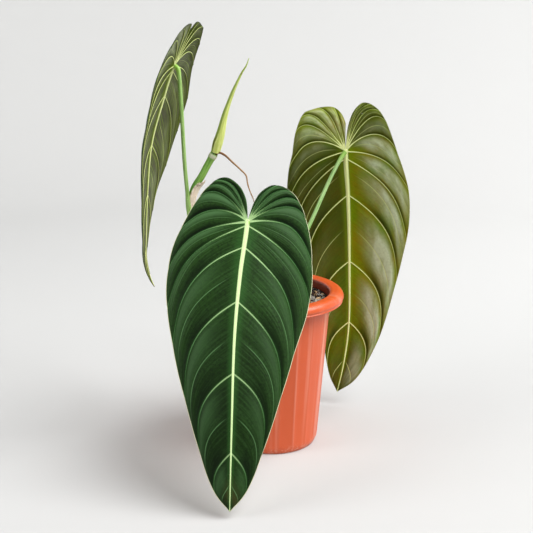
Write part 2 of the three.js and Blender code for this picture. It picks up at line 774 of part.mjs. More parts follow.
// Adds one named piece with its colour as the photograph shows it.
function addPiece(name, solid, colour, roughness) {
  const material = new THREE.MeshStandardMaterial({ color: colour, roughness, metalness: 0 });
  const mesh = new THREE.Mesh(geometryFrom(solid), material);
  mesh.name = name;
  group.add(mesh);
}

addPiece("pot", potSolid(), 0xd9653f, 0.5);
addPiece("soil", soilSolid(), 0x3a342e, 0.95);
addPiece("stem", stemSolid(), 0x5f8a3c, 0.5);
addPiece("leaf_front", bladeSolid(LEAVES.front), 0x1f3a26, 0.6);
addPiece("leaf_right", bladeSolid(LEAVES.right), 0x55602a, 0.45);
addPiece("leaf_left", bladeSolid(LEAVES.left), 0x6a6f50, 0.5);
addPiece("petiole_front", petioleSolid(LEAVES.front), 0x8cab62, 0.5);
addPiece("petiole_right", petioleSolid(LEAVES.right), 0x9ab872, 0.5);
addPiece("petiole_left", petioleSolid(LEAVES.left), 0x7da15a, 0.5);
addPiece("new_leaf_spear", spearSolid(), 0xb9c765, 0.45);
addPiece("dry_sheath", sheathSolid(), 0xd2b39c, 0.8);
addPiece("aerial_root", rootSolid(), 0x8a5a3c, 0.8);

export default group;
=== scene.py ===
"""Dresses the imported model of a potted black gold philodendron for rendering.

The frame gives every piece its place. The blades, the stalks, the rolled new leaf, the pot and the
soil are made again here as finer pieces that keep their form, with veins, velvet, fibres and grit.
Places in this file are in millimetres, as in the model's own source, and meshes are in metres.
"""

import functools
import json
import math
import random
import bmesh
import bpy
import numpy as np
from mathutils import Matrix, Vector, noise

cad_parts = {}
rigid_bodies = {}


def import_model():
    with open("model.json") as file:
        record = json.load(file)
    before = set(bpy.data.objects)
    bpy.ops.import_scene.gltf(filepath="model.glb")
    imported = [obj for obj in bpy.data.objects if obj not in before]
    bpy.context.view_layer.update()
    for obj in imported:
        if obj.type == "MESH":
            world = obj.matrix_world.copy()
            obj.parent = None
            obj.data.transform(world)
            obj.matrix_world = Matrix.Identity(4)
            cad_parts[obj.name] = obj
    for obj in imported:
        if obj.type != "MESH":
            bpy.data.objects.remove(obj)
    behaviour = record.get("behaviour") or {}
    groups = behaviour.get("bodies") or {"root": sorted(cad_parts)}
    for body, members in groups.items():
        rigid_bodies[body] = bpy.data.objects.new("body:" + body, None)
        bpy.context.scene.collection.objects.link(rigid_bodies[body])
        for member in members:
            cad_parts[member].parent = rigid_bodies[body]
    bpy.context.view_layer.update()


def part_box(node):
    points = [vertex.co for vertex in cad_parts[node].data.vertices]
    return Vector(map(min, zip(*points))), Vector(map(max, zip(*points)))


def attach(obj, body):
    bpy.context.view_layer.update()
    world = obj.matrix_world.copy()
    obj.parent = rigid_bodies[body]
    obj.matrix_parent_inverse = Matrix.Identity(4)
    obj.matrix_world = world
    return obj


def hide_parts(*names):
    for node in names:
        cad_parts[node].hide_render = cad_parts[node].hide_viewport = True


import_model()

bl_info = {
    "name": "Potted Philodendron",
    "version": (1, 0, 0),
    "blender": (4, 5, 0),
    "location": "3D View > Sidebar > Plant",
    "description": "Builds a potted climbing plant with hanging heart-shaped leaves around its frame",
    "category": "Add Mesh",
}

MM = 0.001
PATH_STEPS = 32
ROOT_BODY = "root"

# Camera: the photograph's frame of 533 by 533 pixels, its focal length in those pixels, where it
# stood, and how near and how far it sees, in metres.
FRAME_PX = 533
FOCAL_PX = 1076
SENSOR_MM = 36
CAMERA_PLACE = (-6.15, -1110, 504.5)
CAMERA_DOWN_DEG = 15.5
CAMERA_SEES_M = (0.01, 20)

# Soft lights: the width of each, its place and what it points at, in metres.
LIGHTS = {
    "key_light": (2.2, (1.4, -0.5, 2.15), (0, 0, 0.22)),
    "side_light": (1.2, (-1.7, -0.7, 1.1), (0, 0, 0.22)),
    "wall_light": (0.9, (1.1, 0.7, 1.5), (0.7, 1.9, 1.1)),
}

# The stage: the sides of its round floor, the bend up into the wall and the small face in the middle.
FLOOR_SIDES = 96
FLOOR_BEND = 700
FLOOR_BEND_STEPS = 16
FLOOR_MIDDLE = 0.05

# Edges stay sharp where faces meet at more than the first, or the second on rough pieces, and a
# length in metres that is too small to see.
SHARP_DEG = 40
ROUGH_SHARP_DEG = 60
TINY_M = 1e-6

# Pot: the sizes that the frame's box doesn't give, and how finely its profile is turned.
POT_BASE_RADIUS = 47.8
POT_BASE_EDGE = (1, 0.8)
POT_FOOT_RADIUS = 49.8
POT_FOOT_HEIGHT = 5.5
POT_NECK_RADIUS = 62.5
POT_NECK_HEIGHT = 160
POT_WALL = 2
POT_FLOOR = 2.5
POT_SHARP_DEG = 35
WALL_ROWS = 40
FLUTE_FADE_HEIGHT = 5
POT_SEGMENTS = 360
TURNING_RADIUS = 30
INSIDE_ROWS = 14
RIM_WALL = 2.6
RIM_DEPTH = 11.5
RIM_FLAT = 4
RIM_ROUNDING = 7
RIM_STEPS = 18
OPENING_ROUNDING = 5
OPENING_STEPS = 12
# The hollow under the rim as depths below the pot's top, at the neck and where the rim rounds, and
# the rim's lip as points in from its edge and up from its bottom.
NECK_FILLET = 1
HOLLOW_DEPTHS = (5, 3.9)
RIM_LIP = (
    (1.4 * RIM_WALL, 0.4), (1.2 * RIM_WALL, 0), (1.7, 0), (1.05, 0.5), (1.0, 1.3), (1.4, 1.9),
)
# Flutes and notches. A notch's depth is measured from a little outside the foot, and the block that
# cuts it reaches past the foot and below the floor.
FLUTE_COUNT = 20
FLUTE_FIRST_DEG = 8.5
FLUTE_HEIGHT = 0.8
FLUTE_SHARPNESS = 3.0
NOTCH_COUNT = 4
NOTCH_WIDTH = 12
NOTCH_HEIGHT = 6
NOTCH_DEPTH = 9
NOTCH_START = 2
NOTCH_PAST_FOOT = 12
NOTCH_BELOW = 2
NOTCH_STEPS = 12
NOTCH_FIRST_DEG = 256

# Soil: its closed bed, whose top is bumpy and higher in the middle, and the chips that lie on it.
SOIL_TOP = 164
CHIP_REACH = 5
BARE_EDGE_SHARE = 0.7
BED_BELOW_TOP = 2.5
BED_GAP = 0.3
BED_BUMPS = 1.6
BED_BUMP_SIZE = 9
BED_CROWN = 1.5
BED_TONE = 0.1
BED_SIDES = 96
BED_RINGS = 30
MOST_CHIPS_PER_M2 = 1.5e5
CHIP_PICKS = 99
# The layers of chips: the least size as a share of the largest, the least tone and a step in the seed.
SMALL_CHIPS = (0.45, 0.0, 0)
LARGE_LUMPS = (0.6, 0.2, 7)
CHIP_SEED = 11
CHIP_CORNERS = 15
CHIP_CORNER_REACH = (0.82, 1.0)
CHIP_STRETCHES = (
    (1, 0.85, 0.7), (1.2, 0.5, 0.35), (1.3, 0.6, 0.3), (1, 0.9, 0.8), (1.35, 0.4, 0.28), (1.2, 0.7, 0.45),
)

# Stem: its path from inside the soil to the pale top node, and its nodes as shares of that path. Here
# and below, cuts are the steps along a piece and its sides.
STEM_RADIUS = 3.8
STEM_CUTS = (400, 32)
STEM_NODES = (0.249, 0.304, 0.716, 0.988)
NODE_SWELL = 0.8
NODE_LENGTH_SHARE = 0.012
STEM_PATH = (
    (2, 5, 88), (1, 4, 120), (-1, 3, 149), (-9, 4, 165), (-27, 8, 183), (-51, 10, 202),
    (-73, 12, 223), (-85, 14, 242), (-88, 14, 258), (-86, 13, 269), (-82, 13, 281),
    (-75, 12, 292), (-69, 12, 303), (-61, 11, 317),
)

# Rolled new leaf, aerial root and dry sheath.
SPEAR_PATH = (
    (-60, 11, 318), (-58, 11, 326), (-54.5, 10.5, 337), (-49, 10, 359), (-41, 9, 381),
    (-36, 8, 392), (-31.5, 8, 401), (-27, 7, 408), (-24, 7, 416),
)
SPEAR_RADII = (4.9, 5.5, 4.7, 3.8, 3.1, 2.4, 2.1, 1.6, 1.2, 0.9, 0.35)
SPEAR_CUTS = (220, 48)
SPEAR_SEAM_FACING = (-0.75, -1.0, 0.0)
SPEAR_WRAP_STEP = 0.13
SPEAR_WRAP_MIDDLE = 0.6
SPEAR_TWIST = 1.1
ROOT_PATH = (
    (-61, 10, 315), (-56, 8.5, 318), (-50, 6, 316), (-42, 4, 309), (-33, 2, 301),
    (-27.5, 1, 295), (-26, 0, 287), (-23.5, -1, 279), (-20.5, -2, 272), (-18.5, -3, 265),
)
ROOT_RADIUS = 1.25
ROOT_TIP_RADIUS = 0.5
ROOT_CUTS = (160, 16)
ROOT_LUMP_HEIGHT = 0.16
ROOT_LUMPS = 26
SHEATH_START = 0.745
SHEATH_END = 0.9
SHEATH_CUTS = (60, 36)
SHEATH_STEM_STEPS = 800
SHEATH_WALL = 0.5
SHEATH_GAP = 0.6
SHEATH_WRINKLE = 0.5
SHEATH_WRINKLES = (9, 2.5)
SHEATH_TEARS = 11
SHEATH_TEAR_DEPTH = 0.1
SHEATH_LOST = 0.1
SHEATH_CORNERS_LOST = 0.5
SHEATH_MOST_LOST = 0.4
SHEATH_FLARE = 1.6
SHEATH_SPAN_DEG = 190
SHEATH_NARROWING = 0.35
SHEATH_FACING = (0.9, -0.45, -0.2)

PETIOLE_CUTS = (220, 24)
PETIOLE_RADIUS = 2.1
PETIOLE_FOOT_RADIUS = 3.3
PETIOLE_TOP_SWELL = 0.35
PETIOLE_FOOT = (0.02, 0.2)
PETIOLE_TOP = (0.9, 0.97)

# The outline of half a blade and how its veins run, as rays from the midrib to the margin: the root
# on the midrib, the headings in degrees at the start and the end, and how far out and along the ray
# ends. The first rays shape the lobe beside the notch, and the last is the tip.
RAYS = np.array([
    (0.0, -88, -78, 0.014, -0.098),
    (0.0, -80, -40, 0.058, -0.152),
    (0.0, -66, 14, 0.128, -0.134),
    (0.0, -50, 50, 0.184, -0.066),
    (0.0, -34, 58, 0.232, 0.045),
    (0.004, 2, 66, 0.252, 0.16),
    (0.014, 26, 80, 0.246, 0.28),
    (0.06, 28, 86, 0.215, 0.415),
    (0.25, 36, 92, 0.166, 0.595),
    (0.502, 34, 97, 0.107, 0.79),
    (0.775, 42, 98, 0.056, 0.928),
    (1.0, 89, 89, 0.0, 1.0),
])
OUT = 3
NOTCH_RAYS = 2
TIP = len(RAYS) - 1
RAY_START_REACH = 0.5
RAY_END_REACH = 0.4
MARGIN_SHARE = 0.25
QUILT_RISE = 0.45
QUILT_FALL_FROM = 0.75
QUILT_LOSS_AT_MARGIN = 0.7
QUILT_FADE_RAYS = (8, 11)
QUILT_LOSS_AT_TIP = 0.6
QUILT_ROUNDNESS = 2.2

# Each leaf: the midrib as the lobes' reach, the petiole's joint, points along it and the tip, the
# upper face's directions at shares of the midrib, and what sets its two halves apart. Veins counts
# in rays where the main veins of each half lie.
LEAVES = {
    "front": {
        "midrib": (
            (-23, -48, 304), (-25, -66, 262), (-32, -96, 215), (-37, -130, 161),
            (-39, -166, 92), (-41, -190, 8),
        ),
        "facing": ((0.03, -0.9, 0.42), (0.03, -0.97, 0.22)),
        "facing_at": (0, 1),
        "width": (1.05, 1.05),
        "lobe": (0.86, 1.02),
        "open": (0.14, 0),
        "close": (0, -0.5),
        "full": (0, 0),
        "fold": ((6, 6), (6, 6)),
        "fold_at": (0, 1),
        "bend": (20, 20),
        "quilt": 1,
        "veins": (
            (1.3, 2.0, 2.7, 3.25, 4.45, 5.8, 7.3, 8.17, 9.17, 10.12),
            (1.7, 2.2, 2.8, 4.0, 5.25, 6.35, 7.2, 8.2, 9.12, 10.12),
        ),
        "petiole": (
            (-11, 4, 168), (-13, -5, 184), (-17, -22, 215), (-21, -41, 240), (-24, -56, 254),
            (-25.2, -67, 260.5),
        ),
    },
    "right": {
        "midrib": (
            (82, 62, 367), (81, 66, 311), (86, 80, 253), (90, 92, 170), (90, 92, 89),
            (78, 88, 17),
        ),
        "facing": ((0.05, 0.95, 0.25), (0.1, 0.99, 0.05)),
        "facing_at": (0, 1),
        "width": (0.92, 0.9),
        "lobe": (1.05, 1.2),
        "open": (0.26, 0.01),
        "close": (0.95, 0),
        "full": (0, 0.22),
        "fold": ((3, 6), (3, 6)),
        "fold_at": (0, 1),
        "bend": (12, 18),
        "quilt": -1,
        "veins": (
            (1.0, 1.6, 2.35, 3.0, 4.0, 5.3, 6.7, 7.77, 8.8, 9.75),
            (1.0, 1.5, 2.05, 2.6, 3.55, 4.9, 6.55, 7.6, 8.85, 9.72),
        ),
        "petiole": (
            (-2, 3.5, 154), (3, 9, 162), (19.5, 22, 191), (45, 43, 241), (61.5, 56, 276),
            (74.5, 62, 301), (80.5, 65, 309.5),
        ),
    },
    "left": {
        "midrib": (
            (-70, 2, 466), (-101, 10, 409), (-116, 20, 368), (-129, 28, 324), (-135, 32, 274),
            (-138, 33, 226), (-138.5, 32, 193), (-130, 30, 165),
        ),
        "facing": ((-0.97, 0.25, 0.15), (-0.97, 0.26, 0.1), (-0.99, 0.16, 0), (-1, 0.02, 0)),
        "facing_at": (-0.2, 0.25, 0.62, 1),
        "width": (0.98, 0.93),
        "lobe": (1.22, 1.28),
        "open": (-0.02, -0.02),
        "close": (1.15, 1.15),
        "full": (-0.1, 0.16),
        "fold": ((-4, 3), (-4, -1), (0, 2), (2, 2), (2, -6), (-1, -10)),
        "fold_at": (-0.2, 0.05, 0.25, 0.45, 0.65, 1),
        "bend": (21, 15),
        "quilt": 0.4,
        "veins": (
            (1.2, 2.0, 2.9, 3.9, 5.2, 6.5, 7.5, 8.5, 9.3, 10.2),
            (1.3, 2.0, 3.0, 3.9, 5.3, 6.5, 7.48, 8.45, 9.3, 10.2),
        ),
        "petiole": (
            (-86.5, 13.5, 247), (-89, 10, 260), (-90, 8.5, 276), (-92, 8, 304), (-94.5, 8, 370),
            (-96, 8, 398), (-97.3, 8.5, 405.2), (-100.2, 9.9, 407.7),
        ),
    },
}

# How finely a blade is cut: rows in each panel between two veins, columns along each ray, how much
# both crowd near the veins, the midrib and the margin, and steps along each line of a blade. Places
# farther from a line than the far ratio, in half widths of it, all read the same.
PANEL_ROWS = (22, 14, 16, 14, 20, 22, 24, 22, 24, 24, 22)
BLADE_COLUMNS = 80
ROW_CROWDING = 0.55
COLUMN_CROWDING = (1.6, 1.4)
LINE_STEPS = 60
MARGIN_STEPS = 360
FAR_RATIO = 30.0
BLADE_SHARP_DEG = 50

# A blade's lines: half widths at shares of the way along the midrib and along a main vein, how much
# the first main veins widen at their feet, the side veins between them, how far each kind stands out
# or sinks, and how wide the thin edge is.
MIDRIB_HALF_WIDTHS = ((0, 0.12, 0.45, 0.85, 1), (2.1, 1.85, 1.15, 0.62, 0.3))
VEIN_HALF_WIDTHS = ((0, 0.3, 1), (0.66, 0.48, 0.3))
WIDE_FOOT_VEINS = 5
VEIN_FOOT_WIDTH = 0.6
VEIN_FOOT_REACH = 0.15
MINOR_HALF_WIDTH = 0.42
MINOR_STRENGTH = 0.35
MINOR_STRENGTH_TO_TIP = 0.7
MINORS_STRONG_AFTER = 6
MINOR_RISE = (0.04, 0.2)
MINOR_FALL = (0.55, 1.0)
MINOR_LOSS = 0.8
UPPER_MIDRIB_HEIGHT = 0.3
UPPER_GROOVE_DEPTH = 0.35
UPPER_GROOVE_SPREAD = 1.3
GROOVE_START = 3
UNDER_VEIN_SPREAD = 1.05
UPPER_MINOR_DEPTH = 0.12
UNDER_MINOR_HEIGHT = 0.25
MIDRIB_LOSS_TO_TIP = 0.8
VEIN_LOSS_TO_MARGIN = 0.6
THIN_EDGE_WIDTH = 5


# Curves and small maths.
def smoothstep(value, low, high):
    """A smooth rise from 0 at low to 1 at high."""
    share = np.clip((np.asarray(value, float) - low) / (high - low), 0, 1)
    return share * share * (3 - 2 * share)


def unit(vectors):
    """Vectors cut or stretched to length 1."""
    return vectors / np.linalg.norm(vectors, axis=-1, keepdims=True)


def cubic(s, start, start_slope, end, end_slope):
    """Places at shares s of a smooth step that has the given slopes at its ends."""
    return (
        (2 * s**3 - 3 * s**2 + 1) * start
        + (s**3 - 2 * s**2 + s) * start_slope
        + (3 * s**2 - 2 * s**3) * end
        + (s**3 - s**2) * end_slope
    )


def hermite(values, knots, places):
    """Values on a smooth curve through values at knots, one for each place."""
    values = np.array(values, float)
    knots = np.array(knots, float)
    chords = np.diff(values, axis=0) / np.diff(knots)[:, None]
    slopes = np.repeat(chords[:1], len(values), axis=0)
    if len(values) > 2:
        slopes[1:-1] = (values[2:] - values[:-2]) / (knots[2:] - knots[:-2])[:, None]
        slopes[0] = 2 * chords[0] - slopes[1]
        slopes[-1] = 2 * chords[-1] - slopes[-2]
    i = np.clip(np.searchsorted(knots, places, side="left") - 1, 0, len(knots) - 2)
    span = np.diff(knots)[i][..., None]
    s = (places - knots[i])[..., None] / span
    return cubic(s, values[i], span * slopes[i], values[i + 1], span * slopes[i + 1])


def smooth_path(points, steps):
    """Points evenly spread along a smooth curve through the given ones."""
    points = np.array(points, float)
    ends = (2 * points[0] - points[1], 2 * points[-1] - points[-2])
    padded = np.vstack([ends[0], points, ends[1]])
    dense = [points[:1]]
    for i in range(1, len(padded) - 2):
        p0, p1, p2, p3 = padded[i - 1 : i + 3]
        d0, d1, d2 = (math.sqrt(np.linalg.norm(b - a)) for a, b in ((p0, p1), (p1, p2), (p2, p3)))
        t1 = ((p1 - p0) / d0 - (p2 - p0) / (d0 + d1) + (p2 - p1) / d1) * d1
        t2 = ((p2 - p1) / d1 - (p3 - p1) / (d1 + d2) + (p3 - p2) / d2) * d1
        dense.append(cubic(np.linspace(0, 1, PATH_STEPS + 1)[1:, None], p1, t1, p2, t2))
    dense = np.vstack(dense)
    reach = reach_along(dense)
    even = np.linspace(0, reach[-1], steps + 1)
    return np.stack([np.interp(even, reach, dense[:, axis]) for axis in range(3)], axis=1)


def reach_along(points):
    """Distances along a line from its first point to each of its points."""
    return np.concatenate([[0], np.cumsum(np.linalg.norm(np.diff(points, axis=0), axis=1))])


def path_frames(path, facing):
    """Two directions square to the path at each of its points, the first one close to facing."""
    tangents = unit(np.gradient(path, axis=0))
    facing = np.broadcast_to(np.array(facing, float), path.shape)
    first = unit(facing - (facing * tangents).sum(1, keepdims=True) * tangents)
    return first, np.cross(tangents, first)


def gaps_to_line(places, line):
    """The distance from each flat place to a line, and the share of the line where it is nearest."""
    starts = line[:-1]
    steps = line[1:] - starts
    lengths = np.maximum((steps**2).sum(1), 1e-12)
    away = places[:, None, :] - starts[None]
    along = np.clip((away * steps[None]).sum(2) / lengths, 0, 1)
    gaps = np.linalg.norm(away - along[..., None] * steps[None], axis=2)
    nearest = gaps.argmin(1)
    rows = np.arange(len(places))
    share = (nearest + along[rows, nearest]) / len(starts)
    return gaps[rows, nearest], share


def from_list(values, shares):
    """Values read off a list spread evenly from 0 to 1."""
    return np.interp(shares, np.linspace(0, 1, len(values)), values)


def linear(code):
    """The linear colour of a #RRGGBB code."""
    parts = [int(code[i : i + 2], 16) / 255 for i in (1, 3, 5)]
    return tuple(c / 12.92 if c <= 0.04045 else ((c + 0.055) / 1.055) ** 2.4 for c in parts)


def rough_at(*place):
    """Smooth random height at a place, which is the same in every run."""
    return noise.noise(Vector(place))


# Meshes and pieces.
def without_repeats(faces):
    """Faces with no corner twice, and only those that still have three."""
    return [face for face in (tuple(dict.fromkeys(face)) for face in faces) if len(face) > 2]


def mesh_from(name, points, faces, smooth_under_deg=SHARP_DEG):
    """A mesh from points in millimetres and faces, with repeated corners dropped from a face."""
    mesh = bpy.data.meshes.new(name)
    mesh.from_pydata((np.asarray(points) * MM).tolist(), [], without_repeats(faces))
    mesh.validate()
    mesh.shade_smooth()
    if smooth_under_deg:
        mesh.set_sharp_from_angle(angle=math.radians(smooth_under_deg))
    return mesh


def store(mesh, name, values, kind="FLOAT"):
    """Keeps a value or a vector for each point of a mesh."""
    attribute = mesh.attributes.new(name, kind, "POINT")
    field = "vector" if kind == "FLOAT_VECTOR" else "value"
    attribute.data.foreach_set(field, np.asarray(values, np.float32).ravel())


def path_mesh(name, points):
    """A mesh of edges along points in millimetres."""
    mesh = bpy.data.meshes.new(name)
    mesh.from_pydata((points * MM).tolist(), [(i, i + 1) for i in range(len(points) - 1)], [])
    return mesh


def add_object(name, mesh):
    made = bpy.data.objects.new(name, mesh)
    bpy.context.scene.collection.objects.link(made)
    return made


def dressed(mesh, *materials):
    """An object of a mesh, with the mesh's name and the materials."""
    for material in materials:
        mesh.materials.append(material)
    return add_object(mesh.name, mesh)


def finish_piece(piece, node):
    """Hands a finished piece to the frame in place of a node."""
    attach(piece, ROOT_BODY)
    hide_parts(node)


# Node trees.
FLOAT = "NodeSocketFloat"
INT = "NodeSocketInt"
VECTOR = "NodeSocketVector"
GEOMETRY = "NodeSocketGeometry"


def opaque(colour):
    """A plain colour with full alpha. A node's output stays as it is."""
    return colour if isinstance(colour, bpy.types.NodeSocket) else (*colour, 1.0)


class Nodes:
    """Adds nodes to a tree. A call that adds one gives back its output, to feed the next."""

    def __init__(self, tree):
        self.tree = tree

    def feed(self, socket, value):
        """Links an input to another node's output, or sets it to a plain value."""
        if isinstance(value, bpy.types.NodeSocket):
            self.tree.links.new(value, socket)
        else:
            socket.default_value = value

    def put(self, kind, inputs=None, output=0, **settings):
        """One output of a new node, or all of them where output is None."""
        node = self.tree.nodes.new(kind)
        for name, value in settings.items():
            setattr(node, name, value)
        for socket, value in (inputs or {}).items():
            self.feed(node.inputs[socket], value)
        return node.outputs if output is None else node.outputs[output]

    def maths(self, operation, *values):
        return self.put("ShaderNodeMath", dict(enumerate(values)), operation=operation)

    def times(self, product, *values):
        """A value multiplied by others in turn."""
        for value in values:
            product = self.maths("MULTIPLY", product, value)
        return product

    def off_by(self, value, middle):
        """How far a value is from a middle."""
        return self.maths("ABSOLUTE", self.maths("SUBTRACT", value, middle))

    def vector(self, operation, first, output=0, **inputs):
        return self.put("ShaderNodeVectorMath", {0: first} | inputs, output, operation=operation)

    def combine(self, *parts):
        return self.put("ShaderNodeCombineXYZ", dict(enumerate(parts)))

    def separate(self, vector):
        """The three parts of a vector."""
        return self.put("ShaderNodeSeparateXYZ", {0: vector}, None)

    def fade(self, value, low, high, start=0.0, end=1.0):
        """A smooth change from start to end as the value goes from low to high."""
        inputs = {"Value": value, "From Min": low, "From Max": high, "To Min": start, "To Max": end}
        return self.put("ShaderNodeMapRange", inputs, interpolation_type="SMOOTHSTEP")

    def layered(self, colour, *layers):
        """A colour with others laid over it, each given after its factor."""
        for factor, over in layers:
            inputs = {0: factor, 6: opaque(colour), 7: opaque(over)}
            colour = self.put("ShaderNodeMix", inputs, 2, data_type="RGBA")
        return colour

    def stored(self, name, output="Fac"):
        """What the mesh holds under a name, for a material."""
        return self.put("ShaderNodeAttribute", None, output, attribute_name=name)

    def group(self, build, **inputs):
        """The outputs of a shared group, placed with the inputs that it takes here."""
        sockets = {name.replace("_", " "): value for name, value in inputs.items()}
        return self.put("ShaderNodeGroup", sockets, None, node_tree=build())

    def place(self):
        return self.put("ShaderNodeTexCoord", None, "Object")

    def grain(self, scale, detail=3.0):
        """Fine even grain."""
        return self.put("ShaderNodeTexNoise", {"Vector": self.place(), "Scale": scale, "Detail": detail})

    def patches(self, scale, contrast):
        return self.group(blotches_group, Place=self.place(), Scale=scale, Contrast=contrast)[0]

    def specks(self, scale, size, share):
        return self.group(specks_group, Place=self.place(), Scale=scale, Size=size, Share=share)[0]

    def along(self, lines, stretch):
        """Streaks along a stalk, whose mesh holds the way around it and the share of its length."""
        ways = {"Across": self.stored("around", "Vector"), "Along": self.stored("share")}
        return self.group(streaks_group, **ways, Lines=lines, Stretch=stretch)[0]

    def named(self, name):
        """What the mesh holds under a name, for a geometry tree."""
        return self.put("GeometryNodeInputNamedAttribute", {"Name": name}, data_type="FLOAT")

    def kept(self, geometry, name, value, data_type="FLOAT", domain="POINT"):
        """Geometry that holds a value under a name."""
        inputs = {"Geometry": geometry, "Name": name, "Value": value}
        return self.put("GeometryNodeStoreNamedAttribute", inputs, data_type=data_type, domain=domain)


def new_group(name, kind, inputs, outputs):
    """A node group with named inputs, each a name, a type and a default, and named outputs."""
    tree = bpy.data.node_groups.new(name, kind)
    for label, socket_type, default in inputs:
        item = tree.interface.new_socket(name=label, in_out="INPUT", socket_type=socket_type)
        if default is not None:
            item.default_value = default
    for label, socket_type in outputs:
        tree.interface.new_socket(name=label, in_out="OUTPUT", socket_type=socket_type)
    return Nodes(tree), tree.nodes.new("NodeGroupInput").outputs, tree.nodes.new("NodeGroupOutput").inputs


def shader_group(name, inputs, outputs):
    """Turns a function that gives the outputs into one that gives a shared group, made only once.

    The inputs come with their defaults, and None stands for a vector without one."""

    def decorate(build):
        @functools.cache
        def shared():
            takes = [(label, VECTOR if value is None else FLOAT, value) for label, value in inputs.items()]
            gives = [(label, FLOAT) for label in outputs]
            nodes, given, result = new_group(name, "ShaderNodeTree", takes, gives)
            for label, value in zip(outputs, build(nodes, given)):
                nodes.feed(result[label], value)
            return nodes.tree

        return shared

    return decorate


def geometry_tree(name, *inputs):
    """Turns a function that gives geometry into one that gives a shared tree, made only once.

    The tree ends in plain geometry with its material."""

    def decorate(build):
        @functools.cache
        def shared():
            sockets = (("Geometry", GEOMETRY, None), *inputs, ("Material", "NodeSocketMaterial", None))
            nodes, given, result = new_group(name, "GeometryNodeTree", sockets, (("Geometry", GEOMETRY),))
            nodes.tree.is_modifier = True
            real = nodes.put("GeometryNodeRealizeInstances", {"Geometry": build(nodes, given)})
            last = {"Geometry": real, "Material": given["Material"]}
            nodes.feed(result[0], nodes.put("GeometryNodeSetMaterial", last))
            return nodes.tree

        return shared

    return decorate


@shader_group("Lengthwise streaks", {"Across": None, "Along": 0.0, "Lines": 20.0, "Stretch": 2.0}, ("Factor",))
def streaks_group(nodes, given):
    """Fine streaks that run lengthwise: the place across is stretched much less than along."""
    x, y, z = nodes.separate(nodes.vector("SCALE", given["Across"], Scale=given["Lines"]))
    depth = nodes.maths("ADD", z, nodes.times(given["Along"], given["Stretch"]))
    place = nodes.combine(x, y, depth)
    return (nodes.put("ShaderNodeTexNoise", {"Vector": place, "Scale": 1.0, "Detail": 4.0}),)


@shader_group("Soft blotches", {"Place": None, "Scale": 10.0, "Detail": 3.0, "Contrast": 1.0}, ("Factor",))
def blotches_group(nodes, given):
    """Soft uneven patches, with a middle of one half and a chosen contrast."""
    inputs = {"Vector": given["Place"], "Scale": given["Scale"], "Detail": given["Detail"]}
    centred = nodes.maths("SUBTRACT", nodes.put("ShaderNodeTexNoise", inputs), 0.5)
    widened = nodes.maths("MULTIPLY_ADD", centred, given["Contrast"], 0.5)
    return (nodes.put("ShaderNodeClamp", {"Value": widened}),)


@shader_group("Sparse specks", {"Place": None, "Scale": 100.0, "Size": 0.1, "Share": 0.1}, ("Mask",))
def specks_group(nodes, given):
    """Small round specks, at a share of evenly spread cells."""
    cells = nodes.put("ShaderNodeTexVoronoi", {"Vector": given["Place"], "Scale": given["Scale"]}, None)
    edge = {"From Min": given["Size"], "From Max": nodes.times(given["Size"], 0.5)}
    near = nodes.put("ShaderNodeMapRange", {"Value": cells["Distance"]} | edge)
    draw = nodes.put("ShaderNodeSeparateColor", {0: cells["Color"]})
    return (nodes.times(near, nodes.maths("LESS_THAN", draw, given["Share"])),)


LINES = ("Midrib", "Vein", "Minor", "Margin")


@shader_group(
    "Vein lines",
    dict.fromkeys(LINES, FAR_RATIO) | {"Glow": 7.0},
    (*(line + " mask" for line in LINES), "Halo"),
)
def vein_lines_group(nodes, given):
    """Masks of the midrib, main veins, side veins and margin from how many half widths away they are."""
    masks = [nodes.fade(given[line], 0.65, 1.25, 1.0, 0.0) for line in LINES]
    wide = nodes.fade(given["Midrib"], 0.8, given["Glow"], 1.0, 0.0)
    close = nodes.fade(given["Vein"], 0.8, 4.0, 0.6, 0.0)
    return (*masks, nodes.maths("MAXIMUM", wide, close))


@shader_group(
    "Panel tones",
    {"Panel": 0.0, "Reach": 0.5, "Pale start": 0.16, "Pale end": 0.6, "Deep start": 0.6},
    ("Pale", "Deep"),
)
def panel_painted_light_group(nodes, given):
    """Painted light on a panel between two veins, from its place counted in veins: a painted highlight where it
    is pale and painted shade where it is deep.
    """
    across = nodes.maths("FRACT", given["Panel"])
    reach = given["Reach"]
    inside = nodes.times(nodes.fade(reach, 0.05, 0.4), nodes.fade(reach, 0.75, 1.0, 1.0, 0.3))
    start = given["Pale start"]
    pale = nodes.times(nodes.fade(across, 0.0, start), nodes.fade(across, start, given["Pale end"], 1.0, 0.0))
    deep = nodes.fade(across, given["Deep start"], 0.97)
    return nodes.times(pale, inside), nodes.times(deep, inside)


@shader_group("Pleats", {"Panel": 0.0, "Reach": 0.5, "Wide": 0.7, "Fine": 0.06}, ("Height",))
def pleats_group(nodes, given):
    """Height of the pleats between the veins in millimetres, from a place counted in veins."""
    panel = given["Panel"]
    inside = nodes.fade(given["Reach"], 0.02, 0.35)
    broad = nodes.times(inside, nodes.fade(panel, 4.0, 7.0, 0.3, 1.0), given["Wide"])
    waves = [
        nodes.times(nodes.maths("ABSOLUTE", nodes.maths("SINE", nodes.times(panel, count * math.pi))), height)
        for count, height in ((2.0, broad), (12.0, given["Fine"]))
    ]
    return (nodes.maths("ADD", *waves),)


# Materials.
def new_material(name, roughness, **sockets):
    """A material, what adds its nodes, and its shader's inputs with plain values set on them."""
    material = bpy.data.materials.new(name)
    material.use_nodes = True
    shader = material.node_tree.nodes["Principled BSDF"].inputs
    for socket, value in ({"Roughness": roughness} | sockets).items():
        shader[socket.replace("_", " ")].default_value = value
    return material, Nodes(material.node_tree), shader


def set_bump(nodes, shader, height, strength, distance_mm):
    """Feeds a height into the shader's normal."""
    inputs = {"Height": height, "Strength": strength, "Distance": distance_mm * MM}
    nodes.feed(shader["Normal"], nodes.put("ShaderNodeBump", inputs))


